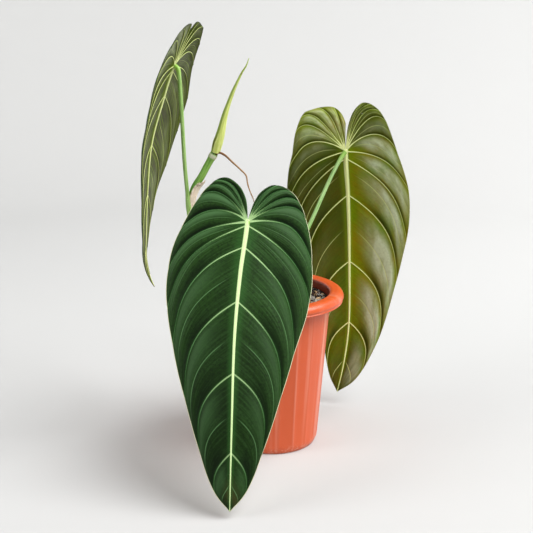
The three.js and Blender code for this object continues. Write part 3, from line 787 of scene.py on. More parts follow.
class BladeNodes(Nodes):
    """The nodes of a blade's material, with what every blade's material reads."""

    def __init__(self, tree, midrib_share, vein_share, glow):
        """The lines are drawn wider by the shares, and the halo reaches as far as glow."""
        super().__init__(tree)
        self.panel, self.half, self.way = (self.stored(name) for name in ("panel", "half", "way"))
        self.at = {"Panel": self.panel, "Reach": self.stored("reach")}
        shares = dict(zip(LINES, (midrib_share, vein_share, vein_share, 1.0)))
        ratios = {
            line: self.maths("DIVIDE", self.stored(line.lower()), share) for line, share in shares.items()
        }
        self.lines = self.group(vein_lines_group, **ratios, Glow=glow)
        self.fine_streaks = self.streaked(30.0, 2.5)

    def by_half(self, first, second):
        return self.fade(self.half, 0.0, 1.0, first, second)

    def streaked(self, lines, stretch):
        """Streaks that run along the veins."""
        across = self.combine(self.panel, self.half)
        return self.group(streaks_group, Across=across, Along=self.at["Reach"], Lines=lines, Stretch=stretch)[0]

    def height(self, streak_height, grain_scale, **wide):
        """The height of the pleats, the streaks and the grain in millimetres."""
        grain = self.times(self.grain(grain_scale), 0.07)
        rough = self.maths("MULTIPLY_ADD", self.fine_streaks, streak_height, grain)
        return self.maths("ADD", self.group(pleats_group, **self.at, **wide)[0], rough)

    def lined(self, colour, colours, halo, minor, vein, far, margin, specks):
        """A face's colour with its halo, side veins, main veins, midrib, margin and specks over it.

        The colours are those of the halo, the veins near and far, the midrib, the margin and the
        specks. Halo, minor, vein and margin are strengths, and far says between which shares of the
        way out a vein takes its far colour. Specks are their size, their share and their strength."""
        halo_colour, vein_colour, far_colour, midrib_colour, margin_colour, speck_colour = colours
        vein_colour = self.layered(vein_colour, (self.fade(self.way, *far), far_colour))
        size, share, strength = specks
        return self.layered(
            colour,
            (self.times(self.lines["Halo"], halo), halo_colour),
            (self.times(self.lines["Minor mask"], self.stored("minor_strength"), minor), far_colour),
            (self.times(self.lines["Vein mask"], vein), vein_colour),
            (self.lines["Midrib mask"], midrib_colour),
            (self.times(self.lines["Margin mask"], margin), margin_colour),
            (self.times(self.specks(62.0, size, share), strength), speck_colour),
        )


def blade_upper_material(look):
    """Dark velvet with pale lines, for the upper face, with a painted sheen on the tip side of each vein and
    painted shade on its other side and towards the tip.
    """
    material, _, shader = new_material(
        "blade_velvet_upper", 0.5, Sheen_Weight=0.03, Sheen_Roughness=0.4, Specular_IOR_Level=0.1,
        Sheen_Tint=opaque(linear("#B4D2A0")),
    )
    nodes = BladeNodes(material.node_tree, 1.1, 1.1, 7.0)
    panel = nodes.panel
    patches = nodes.patches(22.0, 1.6)
    tones = nodes.group(panel_painted_light_group, **nodes.at)
    stain = nodes.times(nodes.fade(panel, 10.2, 10.7, 0.0, 0.6), nodes.fade(patches, 0.4, 0.7))
    # Strength of the painted sheen, greater on the second half and towards the lobes.
    sheen = nodes.times(nodes.by_half(0.42, 0.65), nodes.fade(panel, 3.0, 8.0, 1.6, 0.6))
    colour = nodes.layered(
        look.upper_dark,
        (patches, look.upper_light),
        (nodes.fade(nodes.fine_streaks, 0.42, 0.68, 0.0, 0.3), look.upper_streak),
        # Fine dark mottle, then painted shade that darkens the blade towards the tip, more on the second half.
        (nodes.fade(nodes.grain(420.0), 0.45, 0.7, 0.0, 0.45), look.upper_mottle_and_painted_shade),
        (nodes.fade(panel, 6.0, 9.5, 0.0, nodes.by_half(0.35, 0.6)), look.upper_mottle_and_painted_shade),
        (stain, look.upper_stain),
        # Painted sheen on the tip side of each vein and painted shade on its other side, with less of the shade
        # past the lobes.
        (nodes.times(tones["Pale"], sheen), look.upper_painted_sheen),
        (nodes.times(tones["Deep"], nodes.fade(panel, 4.5, 6.5, 1.0, 0.7)), look.upper_mottle_and_painted_shade),
    )
    outwards = nodes.fade(nodes.way, 0.02, 0.85, 1.0, nodes.fade(panel, 3.0, 6.0, 0.85, 0.45))
    over = (
        look.upper_halo, look.upper_vein, look.upper_vein_far, look.upper_midrib, look.margin, look.speck
    )
    colour = nodes.lined(
        colour, over, halo=0.36, minor=0.55,
        vein=nodes.times(outwards, nodes.fade(panel, 6.0, 10.0, 1.0, 0.65)), far=(0.0, 0.5),
        margin=nodes.fade(panel, 1.0, 3.0), specks=(0.045, 0.05, 0.7),
    )
    nodes.feed(shader["Base Color"], colour)
    on_line = nodes.maths("MAXIMUM", nodes.lines["Midrib mask"], nodes.lines["Vein mask"])
    nodes.feed(shader["Roughness"], nodes.fade(on_line, 0.0, 1.0, 0.58, 0.42))
    set_bump(nodes, shader, nodes.height(0.06, 900.0), 1.0, 1.0)
    return material


def blade_under_material(name, look, base, shade, gloss, shares, edge, edge_strength, painted_shade_strength):
    """Bronze olive with raised pale lines, for the underside, with a painted gloss and painted shade that
    differ by half.
    """
    material, _, shader = new_material(name, 0.34, Specular_IOR_Level=0.08)
    nodes = BladeNodes(material.node_tree, *shares, 4.5)
    panel = nodes.panel
    patches = nodes.patches(42.0, 2.2)
    tones = nodes.group(panel_painted_light_group, **nodes.at, Pale_start=0.35, Pale_end=1.0, Deep_start=0.75)
    # Painted shade: past the lobes on the first half, on the lobes of the second half, and at the tip.
    first_half_painted_shade = nodes.fade(panel, 3.5, 5.5, 0.0, nodes.fade(panel, 8.0, 10.0, 0.75, 0.5))
    dull = nodes.by_half(first_half_painted_shade, nodes.fade(panel, 4.5, 6.0, 0.7, 0.0))
    dull = nodes.maths("MAXIMUM", dull, nodes.fade(panel, 9.6, 10.6, 0.0, 0.75))
    # Painted gloss on the tip side of each vein. It has its own share by half and on the lobes, is streaky, and
    # is greater past the middle of the blade and less in its last panel.
    lobe = nodes.by_half(look.lobe_painted_gloss, 0.1 * look.lobe_painted_gloss)
    painted_gloss_share = nodes.fade(panel, 4.0, 6.0, lobe, nodes.by_half(*gloss))
    painted_gloss_share = nodes.times(painted_gloss_share, nodes.fade(panel, 9.6, 10.4, 1.0, 0.3))
    uneven = nodes.fade(nodes.streaked(2.1, 4.5), 0.28, 0.7, 0.3, 1.05)
    pale = nodes.times(tones["Pale"], painted_gloss_share, uneven, nodes.fade(panel, 7.0, 9.0, 1.2, 1.7))
    colour = nodes.layered(
        base,
        (patches, shade),
        (nodes.fade(nodes.fine_streaks, 0.44, 0.62, 0.0, 0.4), look.under_halo),
        # Painted shade comes first. Then the painted gloss on the tip side of each vein and painted shade on
        # its other side, then fine mottle.
        (nodes.times(dull, painted_shade_strength), look.under_mottle_and_painted_shade),
        (pale, look.under_painted_gloss),
        (nodes.times(tones["Deep"], 0.9), look.under_mottle_and_painted_shade),
        (nodes.fade(nodes.grain(360.0), 0.42, 0.7, 0.0, 0.12), look.under_mottle_and_painted_shade),
    )
    over = (look.under_halo, look.under_vein, look.under_vein_far, look.under_midrib, edge, look.speck)
    colour = nodes.lined(
        colour, over, halo=0.5, minor=1.0, vein=nodes.fade(nodes.way, 0.6, 1.0, 1.0, 0.6),
        far=(0.2, 1.0), margin=edge_strength, specks=(0.05, 0.07, 0.6),
    )
    nodes.feed(shader["Base Color"], colour)
    nodes.feed(shader["Roughness"], nodes.fade(patches, 0.2, 0.8, 0.36, 0.46))
    set_bump(nodes, shader, nodes.height(0.1, 600.0, Wide=0.9), 1.0, 1.0)
    return material


def stalk_material(name, pale, deep, lines):
    """Smooth green with fine lengthwise streaks and paler flecks."""
    material, nodes, shader = new_material(name, 0.42, Specular_IOR_Level=0.5)
    streaked = nodes.along(lines, 9.0)
    flecks = nodes.specks(320.0, 0.22, 0.35)
    brighter = tuple(min(1, part * 1.5) for part in pale)
    colour = nodes.layered(deep, (nodes.fade(streaked, 0.3, 0.7), pale), (nodes.times(flecks, 0.35), brighter))
    set_bump(nodes, shader, nodes.maths("ADD", streaked, flecks), 0.35, 0.2)
    return material, nodes, shader, colour


def petiole_material(name, look, pale, deep):
    """Smooth green, brighter at both ends."""
    material, nodes, shader, colour = stalk_material(name, pale, deep, 3.0)
    share = nodes.stored("share")
    joint = nodes.maths("MAXIMUM", nodes.fade(share, 0.9, 0.98), nodes.fade(share, 0.0, 0.1, 1.0, 0.0))
    nodes.feed(shader["Base Color"], nodes.layered(colour, (nodes.times(joint, 0.6), look.petiole_joint)))
    return material


def stem_material(look):
    """Green between its nodes, with pale rings at them and brown low down."""
    material, nodes, shader, colour = stalk_material("stem_green", look.stem_pale, look.stem_deep, 2.6)
    share = nodes.stored("share")
    old = nodes.times(nodes.fade(share, 0.2, 0.34, 1.0, 0.0), 0.75)
    rings = [nodes.fade(nodes.off_by(share, node), 0.004, 0.012, 0.8, 0.0) for node in STEM_NODES]
    colour = nodes.layered(colour, (old, look.stem_old), *((ring, look.node_ring) for ring in rings))
    nodes.feed(shader["Base Color"], colour)
    return material


def spear_material(look):
    """Yellow green, deeper on the wrapped edge, with brown streaks near its foot and below its tip."""
    material, nodes, shader = new_material("spear_rolled_leaf", 0.4, Specular_IOR_Level=0.5)
    share = nodes.stored("share")
    wrap = nodes.stored("wrap")
    streaked = nodes.along(3.5, 7.0)
    low = nodes.times(nodes.fade(share, 0.03, 0.06), nodes.fade(share, 0.12, 0.2, 1.0, 0.0))
    low = nodes.times(low, nodes.fade(nodes.off_by(wrap, 0.06), 0.0, 0.05, 0.8, 0.0))
    high = nodes.fade(nodes.off_by(share, 0.83), 0.004, 0.02, 0.8, 0.0)
    high = nodes.times(high, nodes.fade(streaked, 0.45, 0.55))
    colour = nodes.layered(
        look.spear_deep,
        (nodes.fade(streaked, 0.35, 0.7), look.spear_pale),
        (nodes.times(nodes.fade(wrap, 0.02, 0.3, 1.0, 0.0), 0.85), look.spear_edge),
        (nodes.fade(share, 0.45, 1.0, 0.0, 0.6), look.spear_tip),
        (nodes.maths("MAXIMUM", low, high), look.scar),
    )
    nodes.feed(shader["Base Color"], colour)
    set_bump(nodes, shader, streaked, 0.4, 0.25)
    return material


def sheath_material(look):
    """Dry, papery and fibrous, with brown flecks."""
    material, nodes, shader = new_material("sheath_dry_paper", 0.85, Specular_IOR_Level=0.2)
    streaked = nodes.along(4.5, 3.0)
    patches = nodes.patches(260.0, 3.0)
    colour = nodes.layered(
        look.sheath_deep,
        (nodes.fade(streaked, 0.3, 0.7), look.sheath_pale),
        (nodes.fade(patches, 0.75, 0.95, 0.0, 0.5), look.scar),
    )
    nodes.feed(shader["Base Color"], colour)
    set_bump(nodes, shader, nodes.maths("ADD", streaked, patches), 0.4, 0.3)
    return material


def root_material(look):
    """Brown at the stem, tan along the middle and greyish at the tip."""
    material, nodes, shader = new_material("root_rough_brown", 0.8, Specular_IOR_Level=0.25)
    share = nodes.stored("share")
    rough = nodes.grain(1400.0, 4.0)
    colour = nodes.layered(
        look.root_brown,
        (nodes.fade(share, 0.0, 0.45), look.root_tan),
        (nodes.fade(share, 0.75, 1.0, 0.0, 0.7), look.root_grey),
        (nodes.fade(rough, 0.4, 0.6, 0.0, 0.35), look.scar),
    )
    nodes.feed(shader["Base Color"], colour)
    set_bump(nodes, shader, rough, 0.7, 0.3)
    return material


def pot_material(look):
    """Satin terracotta plastic with pale upright bands of painted reflection, painted shade on the inner wall
    and scuffs at the foot.
    """
    material, nodes, shader = new_material("pot_plastic", 0.32, Specular_IOR_Level=0.5)
    patches = nodes.patches(18.0, 1.2)
    x, y, height = nodes.separate(nodes.place())
    flat = nodes.combine(x, y)
    outward = nodes.vector("NORMALIZE", flat)
    # Painted reflection: pale upright bands, stronger higher up the wall and weaker on the rim.
    bands = nodes.group(streaks_group, Across=outward, Along=height, Lines=8.0, Stretch=2.0)[0]
    on_wall = nodes.times(
        nodes.fade(height, 0.01, 0.12, 0.25, 0.7), nodes.fade(height, 0.155, 0.165, 1.0, 0.4)
    )
    # Painted shade on the inner wall: points near it take the dark lining colour.
    radius = nodes.vector("LENGTH", flat, "Value")
    lining = nodes.maths("MULTIPLY_ADD", height, pot_inside(1) - pot_inside(0), pot_inside(0) * MM)
    inner = nodes.fade(nodes.maths("SUBTRACT", radius, lining), 0.0003, 0.0014, 0.85, 0.0)
    scuffs = nodes.fade(nodes.patches(420.0, 4.0), 0.6, 0.9)
    worn = nodes.times(nodes.fade(height, 0.0, 0.012, 0.5, 0.0), scuffs)
    colour = nodes.layered(
        look.colour,
        (patches, look.colour_light),
        (nodes.times(nodes.fade(bands, 0.46, 0.66), on_wall), look.painted_reflection_band),
        (nodes.times(inner, nodes.fade(height, 0.005, 0.01)), look.lining),
        (worn, look.scuff),
    )
    nodes.feed(shader["Base Color"], colour)
    nodes.feed(shader["Roughness"], nodes.fade(patches, 0.2, 0.8, 0.28, 0.36))
    set_bump(nodes, shader, nodes.grain(700.0), 0.12, 0.12)
    return material


def soil_material(look):
    """One material for the bed and the chips, which reads the tone that each chip was given."""
    material, nodes, shader = new_material("soil_mix", 0.9, Specular_IOR_Level=0.25)
    ramp = nodes.tree.nodes.new("ShaderNodeValToRGB")
    nodes.feed(ramp.inputs[0], nodes.stored("tone"))
    stops = ramp.color_ramp.elements
    ramp.color_ramp.interpolation = "CONSTANT"
    stops.remove(stops[1])
    stops[0].color = opaque(look.black)
    for position, colour in ((0.34, look.bark), (0.5, look.grey), (0.7, look.pale), (0.82, look.tan)):
        stops.new(position).color = opaque(colour)
    patches = nodes.patches(380.0, 2.0)
    shaded = nodes.layered(ramp.outputs[0], (nodes.fade(patches, 0.2, 0.8, 0.55, 0.0), look.black))
    nodes.feed(shader["Base Color"], shaded)
    set_bump(nodes, shader, patches, 0.8, 0.6)
    return material


# Geometry Nodes.
def modelled(name, source_mesh, tree, inputs):
    """The plain mesh object that a tree makes of a source mesh."""
    source = add_object(name + "_source", source_mesh)
    modifier = source.modifiers.new("Build", "NODES")
    modifier.node_group = tree
    sockets = {i.name: i.identifier for i in tree.interface.items_tree if i.in_out == "INPUT"}
    for label, value in inputs.items():
        modifier[sockets[label]] = value
    depsgraph = bpy.context.evaluated_depsgraph_get()
    mesh = bpy.data.meshes.new_from_object(
        source.evaluated_get(depsgraph), preserve_all_data_layers=True, depsgraph=depsgraph
    )
    mesh.name = name
    source.modifiers.remove(modifier)
    bpy.data.objects.remove(source)
    if not mesh.polygons:
        raise RuntimeError(name + " came out empty")
    return add_object(name, mesh)


@geometry_tree("Tube along a path", ("Sides", INT, 24))
def tube_tree(nodes, given):
    """A tube along a path whose points hold a radius, with its share and its way around kept."""
    curve = nodes.put("GeometryNodeMeshToCurve", {0: given["Geometry"]})
    path = nodes.kept(curve, "share", nodes.put("GeometryNodeSplineParameter"))
    circle = nodes.put("GeometryNodeCurvePrimitiveCircle", {"Resolution": given["Sides"], "Radius": 1.0})
    profile = nodes.kept(circle, "around", nodes.put("GeometryNodeInputPosition"), "FLOAT_VECTOR")
    inputs = {"Curve": path, "Profile Curve": profile, "Scale": nodes.named("radius"), "Fill Caps": True}
    return nodes.put("GeometryNodeSetShadeSmooth", {"Geometry": nodes.put("GeometryNodeCurveToMesh", inputs)})


@geometry_tree(
    "Fluted pot",
    ("Turning radius", FLOAT, 0.03),
    ("Segments", INT, 360),
    ("Flutes", FLOAT, float(FLUTE_COUNT)),
    ("First flute", FLOAT, 0.0),
    ("Flute height", FLOAT, FLUTE_HEIGHT * MM),
    ("Notch", "NodeSocketObject", None),
    ("Notches", INT, NOTCH_COUNT),
    ("First notch", FLOAT, 0.0),
)
def pot_tree(nodes, given):
    """A profile turned round the upright axis, its outer wall fluted and its foot notched."""
    profile = nodes.put("GeometryNodeMeshToCurve", {0: given["Geometry"]})
    circle = nodes.put(
        "GeometryNodeCurvePrimitiveCircle",
        {"Resolution": given["Segments"], "Radius": given["Turning radius"]},
    )
    turned = nodes.put("GeometryNodeCurveToMesh", {"Curve": circle, "Profile Curve": profile})
    x, y, _ = nodes.separate(nodes.put("GeometryNodeInputPosition"))
    turn = nodes.maths("SUBTRACT", nodes.maths("ARCTAN2", y, x), given["First flute"])
    step = nodes.maths("FRACT", nodes.maths("DIVIDE", nodes.times(turn, given["Flutes"]), math.tau))
    from_middle = nodes.maths("ABSOLUTE", nodes.maths("MULTIPLY_ADD", step, 2.0, -1.0))
    ridge = nodes.maths("SUBTRACT", nodes.maths("POWER", from_middle, FLUTE_SHARPNESS), 0.5)
    raised = nodes.times(ridge, given["Flute height"], nodes.named("fluted"))
    offset = nodes.vector("SCALE", nodes.vector("NORMALIZE", nodes.combine(x, y)), Scale=raised)
    shaped = nodes.put("GeometryNodeSetPosition", {"Geometry": turned, "Offset": offset})
    welded = nodes.put("GeometryNodeMergeByDistance", {0: shaped, "Distance": TINY_M})
    ring = nodes.put("GeometryNodeCurvePrimitiveCircle", {"Resolution": given["Notches"], "Radius": TINY_M})
    cutter = nodes.put("GeometryNodeObjectInfo", {"Object": given["Notch"]}, "Geometry")
    share = nodes.maths("DIVIDE", nodes.put("GeometryNodeInputIndex"), given["Notches"])
    heading = nodes.maths("MULTIPLY_ADD", share, math.tau, given["First notch"])
    inputs = {"Points": ring, "Instance": cutter, "Rotation": nodes.combine(0.0, 0.0, heading)}
    cutters = nodes.put("GeometryNodeInstanceOnPoints", inputs)
    real = nodes.put("GeometryNodeRealizeInstances", {"Geometry": cutters})
    return nodes.put(
        "GeometryNodeMeshBoolean", {"Mesh 1": welded, "Mesh 2": real}, operation="DIFFERENCE", solver="EXACT"
    )


@geometry_tree(
    "Soil mix",
    ("Chips", "NodeSocketCollection", None),
    ("Small spacing", FLOAT, 0.003),
    ("Large spacing", FLOAT, 0.009),
    ("Chip size", FLOAT, 0.004),
    ("Lump size", FLOAT, 0.007),
    ("Seed", INT, 3),
)
def soil_tree(nodes, given):
    """Chips scattered on the top of a bed, small ones thickly and large lumps thinly over them."""
    top = nodes.named("top")
    inputs = {"Collection": given["Chips"], "Separate Children": True, "Reset Children": True}
    kinds = nodes.put("GeometryNodeCollectionInfo", inputs)

    def layer(spacing, size, least_size, least_tone, seed_step):
        seed = nodes.maths("ADD", given["Seed"], float(seed_step))
        points = nodes.put(
            "GeometryNodeDistributePointsOnFaces",
            {
                "Mesh": given["Geometry"],
                "Distance Min": spacing,
                "Density Max": MOST_CHIPS_PER_M2,
                "Density Factor": top,
                "Seed": seed,
            },
            distribute_method="POISSON",
        )

        def drawn(kind, least, most):
            output = ("FLOAT_VECTOR", "FLOAT", "INT").index(kind)
            inputs = {2 * output: least, 2 * output + 1: most, "Seed": seed}
            return nodes.put("FunctionNodeRandomValue", inputs, output, data_type=kind)

        chips = nodes.put(
            "GeometryNodeInstanceOnPoints",
            {
                "Points": points,
                "Instance": kinds,
                "Pick Instance": True,
                "Instance Index": drawn("INT", 0, CHIP_PICKS),
                "Rotation": drawn("FLOAT_VECTOR", (0.0,) * 3, (math.tau,) * 3),
                "Scale": nodes.times(drawn("FLOAT", least_size, 1.0), size),
            },
        )
        return nodes.kept(chips, "tone", drawn("FLOAT", least_tone, 1.0), domain="INSTANCE")

    joined = nodes.tree.nodes.new("GeometryNodeJoinGeometry")
    for part in (
        given["Geometry"],
        layer(given["Small spacing"], given["Chip size"], *SMALL_CHIPS),
        layer(given["Large spacing"], given["Lump size"], *LARGE_LUMPS),
    ):
        nodes.tree.links.new(part, joined.inputs[0])
    return joined.outputs[0]


# Blades.
def ray_values(q):
    """Rays between their neighbours, where q counts rays from the notch to the tip."""
    i = np.minimum(np.floor(q).astype(int), TIP - 1)
    s = (q - i)[:, None]
    b = RAYS[i]
    c = RAYS[i + 1]
    a = np.where((i > 0)[:, None], RAYS[np.maximum(i - 1, 0)], 2 * b - c)
    a[i == 0, OUT] = c[i == 0, OUT]
    d = np.where((i + 2 <= TIP)[:, None], RAYS[np.minimum(i + 2, TIP)], 2 * c - b)
    rays = 0.5 * (
        2 * b + (c - a) * s + (2 * a - 5 * b + 4 * c - d) * s**2 + (3 * b - a - 3 * c + d) * s**3
    )
    rays[:, 0] = np.maximum(rays[:, 0], 0)
    return rays


def vein_rays(leaf, count):
    """Where counts of veins lie among each half's rays, and their roots, which the halves share."""
    edges = [(0, *veins, TIP) for veins in leaf["veins"]]
    rays = [np.interp(count, np.arange(len(edge)), edge) for edge in edges]
    return rays, (ray_values(rays[0])[:, 0] + ray_values(rays[1])[:, 0]) / 2


def flat_places(leaf, half, q, v, root):
    """Places out and along on the flat half blade, as shares of the midrib, at v of the way on ray q."""
    _, start, end, out, along = ray_values(q).T
    span = np.hypot(out, along - root)
    start = np.radians(start)
    end = np.radians(end)
    from_root = np.stack([np.zeros_like(root), root], 1)
    at_margin = np.stack([out, along], 1)
    first = from_root + (RAY_START_REACH * span)[:, None] * np.stack([np.cos(start), np.sin(start)], 1)
    second = at_margin - (RAY_END_REACH * span)[:, None] * np.stack([np.cos(end), np.sin(end)], 1)
    w = v[:, None]
    flat = (
        (1 - w) ** 3 * from_root
        + 3 * (1 - w) ** 2 * w * first
        + 3 * (1 - w) * w**2 * second
        + w**3 * at_margin
    )
    along = flat[:, 1]
    out = flat[:, 0] * leaf["width"][half] * (1 + leaf["full"][half] * np.maximum(along, 0))
    behind = along < 0
    along = np.where(behind, along * leaf["lobe"][half], along)
    out = out - np.where(behind, leaf["open"][half] * along, 0)
    out = np.where(q < NOTCH_RAYS, out * (1 - leaf["close"][half] * (1 - q / NOTCH_RAYS)), out)
    return np.stack([out, along], 1)


def quilting(q, count, v, height):
    """How far the blade puffs up between its veins."""
    across = count - np.floor(count)
    between = 1 - np.abs(2 * across - 1) ** QUILT_ROUNDNESS
    puff = np.where(count < 1, np.sin(np.pi * across), between)
    margin = 1 - QUILT_LOSS_AT_MARGIN * smoothstep(v, QUILT_FALL_FROM, 1)
    towards_tip = 1 - QUILT_LOSS_AT_TIP * smoothstep(q, *QUILT_FADE_RAYS)
    return height * puff * smoothstep(v, 0, QUILT_RISE) * margin * towards_tip


def midrib_knots(leaf):
    """The midrib's length from petiole to tip, and its points' shares of it."""
    reach = reach_along(np.array(leaf["midrib"], float))
    length = reach[-1] - reach[1]
    return length, (reach - reach[1]) / length


def bent_surface(leaf, half, q, count, v, flat, quilt_height):
    """The blade's middle surface in place, and the directions of its upper face."""
    length, knots = midrib_knots(leaf)
    side = 1 if half == 0 else -1
    out, along = flat.T
    points = hermite(leaf["midrib"], knots, along)
    step = 0.001
    tangents = unit(
        hermite(leaf["midrib"], knots, along + step) - hermite(leaf["midrib"], knots, along - step)
    )
    up = hermite(leaf["facing"], leaf["facing_at"], along)
    up = unit(up - (up * tangents).sum(1, keepdims=True) * tangents)
    across = np.cross(up, tangents) * side
    fold = -np.radians(hermite(leaf["fold"], leaf["fold_at"], along)[:, half])
    turn = -math.radians(leaf["bend"][half]) / MARGIN_SHARE
    angle = fold + turn * out
    points = points + across * (length * (np.sin(angle) - np.sin(fold)) / turn)[:, None]
    points = points - up * (length * (np.cos(angle) - np.cos(fold)) / turn)[:, None]
    tilted = up * np.cos(angle)[:, None] - across * np.sin(angle)[:, None]
    level = (v == 0) | (q >= TIP)
    normals = np.where(level[:, None], up, tilted)
    return points + normals * quilting(q, count, v, quilt_height)[:, None], normals


def blade_lines(leaf, half, q, flat):
    """For each point of a half blade, how far it lies from each kind of line, in half widths of it."""
    length, _ = midrib_knots(leaf)
    places = flat * length
    veins = len(leaf["veins"][half])

    def line_at(count):
        share = np.linspace(0, 1, LINE_STEPS + 1)
        rays, root = vein_rays(leaf, np.full_like(share, count))
        return flat_places(leaf, half, rays[half], share, root) * length

    spine = np.stack([np.zeros(LINE_STEPS + 1), np.linspace(0, length, LINE_STEPS + 1)], 1)
    rib_gap, rib_share = gaps_to_line(places, spine)
    rib_half = np.interp(rib_share, *MIDRIB_HALF_WIDTHS)

    def vein_half(vein, share):
        foot = VEIN_FOOT_WIDTH * (1 - smoothstep(share, 0, VEIN_FOOT_REACH))
        return np.interp(share, *VEIN_HALF_WIDTHS) + (foot if vein <= WIDE_FOOT_VEINS else 0)

    def strength_at(vein, share):
        strong = MINOR_STRENGTH_TO_TIP if vein > MINORS_STRONG_AFTER else MINOR_STRENGTH
        return strong * smoothstep(share, *MINOR_RISE) * (1 - MINOR_LOSS * smoothstep(share, *MINOR_FALL))

    def nearest(step, half_width_at, value_at):
        """The nearest of the lines that lie a step past each vein, in half widths, and a value on it."""
        ratio = np.full(len(q), FAR_RATIO)
        value = np.zeros(len(q))
        for vein in range(1, veins + 1):
            gap, share = gaps_to_line(places, line_at(vein + step))
            away = gap / half_width_at(vein, share)
            value = np.where(away < ratio, value_at(vein, share), value)
            ratio = np.minimum(ratio, away)
        return ratio, value

    vein_ratio, vein_share = nearest(0, vein_half, lambda vein, share: share)
    minor_ratio, minor_strength = nearest(0.5, lambda vein, share: MINOR_HALF_WIDTH, strength_at)
    edge = np.linspace(0, veins + 1, MARGIN_STEPS)
    rays, root = vein_rays(leaf, edge)
    margin_line = np.vstack([
        line_at(0),
        flat_places(leaf, half, rays[half], np.ones_like(edge), root) * length,
    ])
    margin_gap, _ = gaps_to_line(places, margin_line)
    return {
        "rib_gap": rib_gap, "rib_ratio": rib_gap / rib_half, "rib_share": rib_share,
        "vein_ratio": vein_ratio, "vein_share": vein_share,
        "minor_ratio": minor_ratio, "minor_strength": minor_strength,
        "margin_gap": margin_gap,
    }


def line_forms(lines, vein_spread):
    """Where the midrib, the main veins and the side veins stand out or sink, from 0 to 1."""
    midrib = np.sqrt(np.clip(1 - lines["rib_ratio"] ** 2, 0, 1))
    vein = np.exp(-((lines["vein_ratio"] / vein_spread) ** 2)) * (1 - VEIN_LOSS_TO_MARGIN * lines["vein_share"])
    return midrib, vein, np.exp(-(lines["minor_ratio"] ** 2)) * lines["minor_strength"]


def upper_relief(lines):
    """Height of the upper face over its plain surface: a low rounded midrib and sunken veins."""
    midrib, vein, minor = line_forms(lines, UPPER_GROOVE_SPREAD)
    groove = UPPER_GROOVE_DEPTH * vein * smoothstep(lines["rib_gap"], 0, GROOVE_START)
    return UPPER_MIDRIB_HEIGHT * midrib - groove - UPPER_MINOR_DEPTH * minor


def under_relief(lines, midrib_ridge, vein_ridge):
    """Height of the underside's raised lines."""
    midrib, vein, minor = line_forms(lines, UNDER_VEIN_SPREAD)
    midrib_height = midrib_ridge * (1 - MIDRIB_LOSS_TO_TIP * lines["rib_share"]) * midrib
    return np.maximum(midrib_height, vein_ridge * vein) + UNDER_MINOR_HEIGHT * minor


def blade_grid():
    """The rows' places, counted in veins, and the columns' places along a ray."""
    rows = []
    for panel, cuts in enumerate(PANEL_ROWS):
        share = np.arange(cuts) / cuts
        rows.append(panel + share - ROW_CROWDING * np.sin(math.tau * share) / math.tau)
    rows.append(np.array([float(len(PANEL_ROWS))]))
    s = np.linspace(0, 1, BLADE_COLUMNS + 1)
    at_midrib, at_margin = COLUMN_CROWDING
    return np.concatenate(rows), (1 - s) * s**at_midrib + s * (1 - (1 - s) ** at_margin)


def seam_ids(shape, start, first, root):
    """Point numbers of a sheet, with one point for the lobes' root, one for the tip and one midrib."""
    ids = np.arange(start, start + shape[0] * shape[1]).reshape(shape)
    if first is not None:
        ids[:, 0] = first[:, 0]
    ids[root == 0, 0] = ids[0, 0]
    ids[-1, :] = ids[-1, 0]
    return ids


def sheet_faces(ids, turned):
    """The faces of a sheet of point numbers."""
    quads = np.stack([ids[:-1, :-1], ids[1:, :-1], ids[1:, 1:], ids[:-1, 1:]], 2).reshape(-1, 4)
    return (quads[:, ::-1] if turned else quads).tolist()


def edge_faces(upper, under, turned):
    """The faces that close a sheet's edge, from its points above and below in order."""
    quads = np.stack([upper[:-1], upper[1:], under[1:], under[:-1]], 1)
    return (quads[:, ::-1] if turned else quads).tolist()


